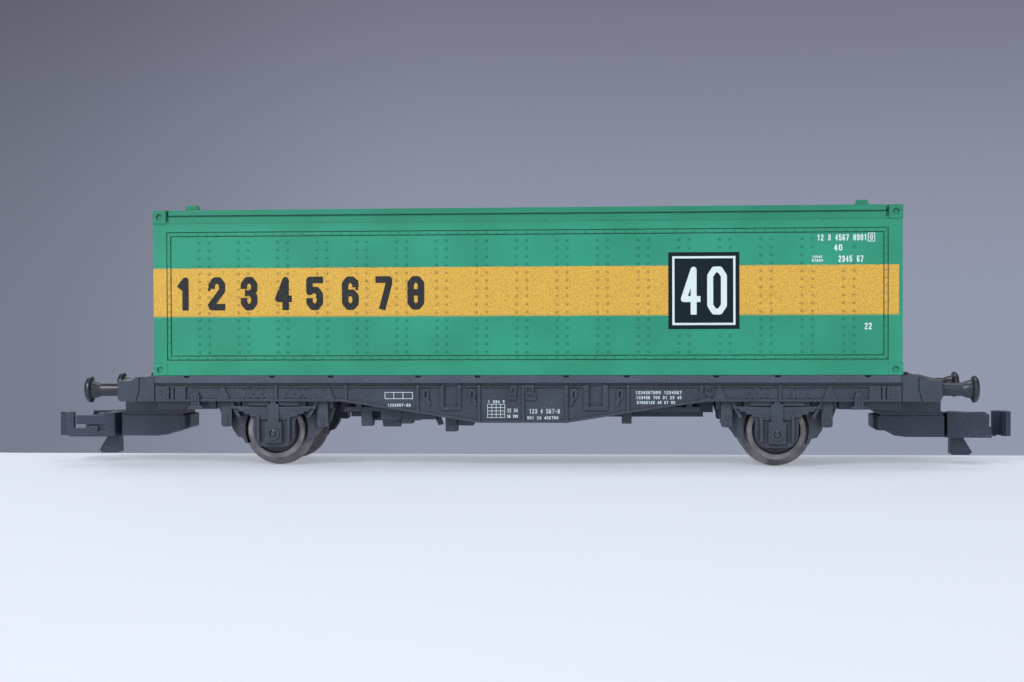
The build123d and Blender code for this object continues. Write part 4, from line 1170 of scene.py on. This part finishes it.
@dataclass
class SillDress:
    """Rivets and small white print of the side sills. Heights are counted from the rail.

    Attributes:
        palette: The finishes.
        pen: What writes the print.
        sill_inset_mm: How far the sill's face lies inside the container's.
        web_recess_mm: How far the web lies inside the sill's face.
        bolster_rows: Rivets over each axle, as height and places along the row.
        panel_places: Distances from the middle of the outermost panels' rivets.
        panel_levels: Heights of those rivets.
        label: Left and lower edge, width and height of the label box.
        label_bars: Left edges of the bars in it.
        label_inset_mm: Space above and below those bars.
        line_mm: Width of the label's lines.
        grid_corner: Lower left corner of the grid.
        grid_pitch: Distance between its uprights, and between its levels.
        grid_size: Its width and height.
        grid_lines: Number of lines each way.
        grid_line_mm: Width of those lines.
        fine_rows: The rows of digits.
    """

    palette: Palette
    pen: Pen
    sill_inset_mm: float = 0.17
    web_recess_mm: float = 0.25
    bolster_rows: tuple[tuple[float, tuple[float, ...]], ...] = (
        (7.29, (-3.05, -2.46, -1.62, -0.99, 1.21, 1.79, 2.70, 3.28)),
        (6.85, (-2.87, -2.03, -1.16, 1.37, 2.27, 3.09)),
        (6.43, (-3.05, -2.43, -1.58, -1.00, 1.27, 1.87, 2.82, 3.31)),
    )
    panel_places: tuple[float, ...] = (36.85, 37.42)
    panel_levels: tuple[float, ...] = (6.35, 6.75, 7.15)
    label: tuple[float, float, float, float] = (-14.11, 6.3, 2.9, 0.7)
    label_bars: tuple[float, ...] = (-13.2, -12.25)
    label_inset_mm: float = 0.03
    line_mm: float = 0.055
    grid_corner: tuple[float, float] = (-3.57, 4.38)
    grid_pitch: tuple[float, float] = (0.44, 0.34)
    grid_size: tuple[float, float] = (1.8, 1.4)
    grid_lines: int = 5
    grid_line_mm: float = 0.045
    fine_rows: tuple[Row, ...] = (
        Row("1234567-89", -13.82, 5.5, 2.36, 0.32), Row("1 234 5", -3.5, 5.88, 1.7, 0.28),
        Row("12 34", -1.53, 4.93, 1.06, 0.4), Row("56 789", -1.53, 4.37, 1.06, 0.32),
        Row("123 4 567-8", 0.71, 4.82, 3.1, 0.46), Row("901 23 456789", 0.5, 4.21, 3.15, 0.32),
        Row("1234567890 1234567", 11.47, 6.78, 4.64, 0.33),
        Row("123456 789 01 23 45", 11.56, 6.28, 4.55, 0.32),
        Row("67890123 45 67 89", 11.63, 5.78, 3.83, 0.31))

    def __post_init__(self) -> None:
        """Read the sill's planes from the frame and cut the rivet head."""
        _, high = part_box("container_shell")
        self.face = high.y / MM - self.sill_inset_mm
        self.axle_x, _ = middle_of_axle()
        self.rivet = Stamp.rivet("sill_rivet", radius_mm=0.12, rise_mm=0.09)

    def rivet_side(self, side: Side) -> None:
        """Rivet the web over both axles, and the outermost panels.

        Args:
            side: The side.
        """
        shape = bmesh.new()
        web = upright(side, self.face - self.web_recess_mm)
        for axle in (-self.axle_x, self.axle_x):
            for level, places in self.bolster_rows:
                for place in places:
                    self.rivet.stud(shape, web, axle + place, level + RAIL_MM)
        panel = upright(side, self.face)
        for x in self.panel_places:
            for place in (x, -x):
                for level in self.panel_levels:
                    self.rivet.stud(shape, panel, place, level + RAIL_MM)
        settle(f"sill_rivets_{side.name.lower()}", shape, "wagon",
               self.palette.of(Slot.FRAME.value), RIVET_SMOOTH_DEG)

    def print_side(self, side: Side) -> None:
        """Print the label, the grid and the rows of digits.

        Args:
            side: The side.
        """
        sheet = self.pen.start(upright(side, self.face - self.web_recess_mm))
        left, low, width, height = self.label
        self.pen.box(left, RAIL_MM + low, width, height, self.line_mm)
        for bar in self.label_bars:
            self.pen.bar(bar, RAIL_MM + low + self.label_inset_mm, self.line_mm,
                         height - 2 * self.label_inset_mm)
        (left, low), (across, up), (width, height) = self.grid_corner, self.grid_pitch, self.grid_size
        for line in range(self.grid_lines):
            self.pen.bar(left + line * across, RAIL_MM + low, self.grid_line_mm, height)
        for line in range(self.grid_lines):
            self.pen.bar(left, RAIL_MM + low + line * up, width, self.grid_line_mm)
        for row in self.fine_rows:
            self.pen.write(row, RAIL_MM, gap=0.4)
        settle(f"sill_white_print_{side.name.lower()}", sheet, "wagon",
               self.palette.of("white_ink"))

    def build(self) -> None:
        """Rivet and print both sills."""
        for side in Side:
            self.rivet_side(side)
            self.print_side(side)


@dataclass(frozen=True)
class Lamp:
    """A square soft lamp: its name, its place and side in millimetres, and its power in watts."""

    name: str
    place_mm: tuple[float, float, float]
    side_mm: float
    watts: float


@dataclass
class Studio:
    """Pale table, plain backdrop colour, soft lamps and the camera.

    Attributes:
        palette: The finishes.
        back_edge_mm: Distance of the table's back edge behind the wagon's middle.
        edge_mm: Radius of the table's edges.
        reach_mm: How far the table reaches to the front and to each side.
        thickness_mm: The table's thickness.
        eye_mm: Where the camera stands.
        yaw_deg: The camera's turn to the left.
        pitch_deg: Its tilt upwards.
        roll_deg: Its roll.
        lens: Its focal length.
        aim_height_mm: Height that the lamps are aimed at.
        light: Share of their power that the lamps give.
        ambient: Strength of the even light.
        lamps: The lamps.
    """

    palette: Palette
    back_edge_mm: float = 9.6
    edge_mm: float = 1.0
    reach_mm: float = 900.0
    thickness_mm: float = 30.0
    eye_mm: tuple[float, float, float] = (12.337, -177.374, 16.284)
    yaw_deg: float = 4.489
    pitch_deg: float = -1.137
    roll_deg: float = -0.233
    lens: float = 59.06
    aim_height_mm: float = 12.0
    light: float = 0.415
    ambient: float = 0.17
    lamps: tuple[Lamp, ...] = (
        Lamp("key", (-170, -310, 285), 130, 2.45), Lamp("front_fill", (210, -300, 260), 200, 0.95),
        Lamp("low_left", (-240, -400, 90), 150, 0.5), Lamp("low_right", (240, -400, 90), 150, 0.5),
        Lamp("top", (30, 40, 380), 200, 1.2), Lamp("back_rim", (-120, 320, 220), 240, 0.6))

    def table(self) -> None:
        """The floor: a slab whose rounded back edge lies just behind the wagon."""
        shape = bmesh.new()
        middle_y = (self.back_edge_mm - self.reach_mm) / 2
        centre = Matrix.Translation((0, middle_y * MM, -self.thickness_mm / 2 * MM))
        size = Matrix.Diagonal((2 * self.reach_mm * MM, (self.reach_mm + self.back_edge_mm) * MM,
                                self.thickness_mm * MM, 1))
        bmesh.ops.create_cube(shape, size=1, matrix=centre @ size)
        bmesh.ops.bevel(shape, geom=shape.edges[:], offset=self.edge_mm * MM, segments=5,
                        affect="EDGES", profile=0.5, material=-1)
        mesh = bpy.data.meshes.new("floor")
        shape.to_mesh(mesh)
        shape.free()
        mesh.shade_smooth()
        mesh.set_sharp_from_angle(angle=math.radians(30))
        floor = bpy.data.objects.new("floor", mesh)
        bpy.context.scene.collection.objects.link(floor)
        mesh.materials.append(self.palette.made["floor"])

    def hang(self, lamp: Lamp) -> None:
        """Hang a lamp and aim it at the wagon.

        Args:
            lamp: The lamp.
        """
        data = bpy.data.lights.new(lamp.name, "AREA")
        data.size = lamp.side_mm * MM
        data.energy = lamp.watts * self.light
        light = bpy.data.objects.new(lamp.name, data)
        light.location = Vector(lamp.place_mm) * MM
        aim = Vector((0, 0, self.aim_height_mm * MM)) - light.location
        light.rotation_euler = aim.to_track_quat("-Z", "Y").to_euler()
        bpy.context.scene.collection.objects.link(light)

    def world(self) -> None:
        """Even ambient light, with a plain grey backdrop that darkens upward and to one side."""
        world = bpy.data.worlds.new("studio")
        bpy.context.scene.world = world
        world.use_nodes = True
        sky = Tree(world.node_tree)
        coords = sky.add("ShaderNodeTexCoord", {})
        split = sky.add("ShaderNodeSeparateXYZ", {0: coords.outputs["Generated"]})
        height = sky.rise(split.outputs[2], -0.02, 0.30)
        backdrop = sky.mix(height, srgb(147, 153, 172), srgb(101, 99, 115))
        sideways = sky.rise(split.outputs[0], -0.42, -0.10)
        backdrop = sky.mix(sideways, sky.mix(0.40, backdrop, srgb(0, 0, 0)), backdrop)
        seen = sky.add("ShaderNodeBackground", {"Color": backdrop, "Strength": 1.0})
        even = sky.add("ShaderNodeBackground", {"Color": srgb(236, 240, 250), "Strength": self.ambient})
        choose = sky.add("ShaderNodeMixShader", {0: sky.seen_directly(), 1: even.outputs[0],
                                                 2: seen.outputs[0]})
        output = sky.add("ShaderNodeOutputWorld", {})
        sky.feed(output.inputs["Surface"], choose.outputs[0])

    def camera(self) -> None:
        """The camera, low beside the wagon."""
        data = bpy.data.cameras.new("camera")
        data.lens = self.lens
        data.sensor_width = 36.0
        data.clip_start, data.clip_end = 1 * MM, 10.0
        eye = bpy.data.objects.new("camera", data)
        turn = (Matrix.Rotation(math.radians(self.yaw_deg), 4, "Z")
                @ Matrix.Rotation(math.radians(90 + self.pitch_deg), 4, "X")
                @ Matrix.Rotation(math.radians(self.roll_deg), 4, "Z"))
        eye.matrix_world = Matrix.Translation(Vector(self.eye_mm) * MM) @ turn
        bpy.context.scene.collection.objects.link(eye)
        bpy.context.scene.camera = eye

    def build(self) -> None:
        """Set the stage."""
        self.table()
        self.world()
        for lamp in self.lamps:
            self.hang(lamp)
        self.camera()
        bpy.context.scene.view_settings.view_transform = "Standard"


def main() -> None:
    """Build the wagon's finish and detail, piece by piece, and the studio round it."""
    logging.basicConfig(level=logging.INFO, format="%(name)s: %(message)s")
    palette = Palette()
    palette.build()
    pen = Pen()
    ContainerDress(palette, pen).build()
    SillDress(palette, pen).build()
    Studio(palette).build()


if __name__ == "__main__":
    main()
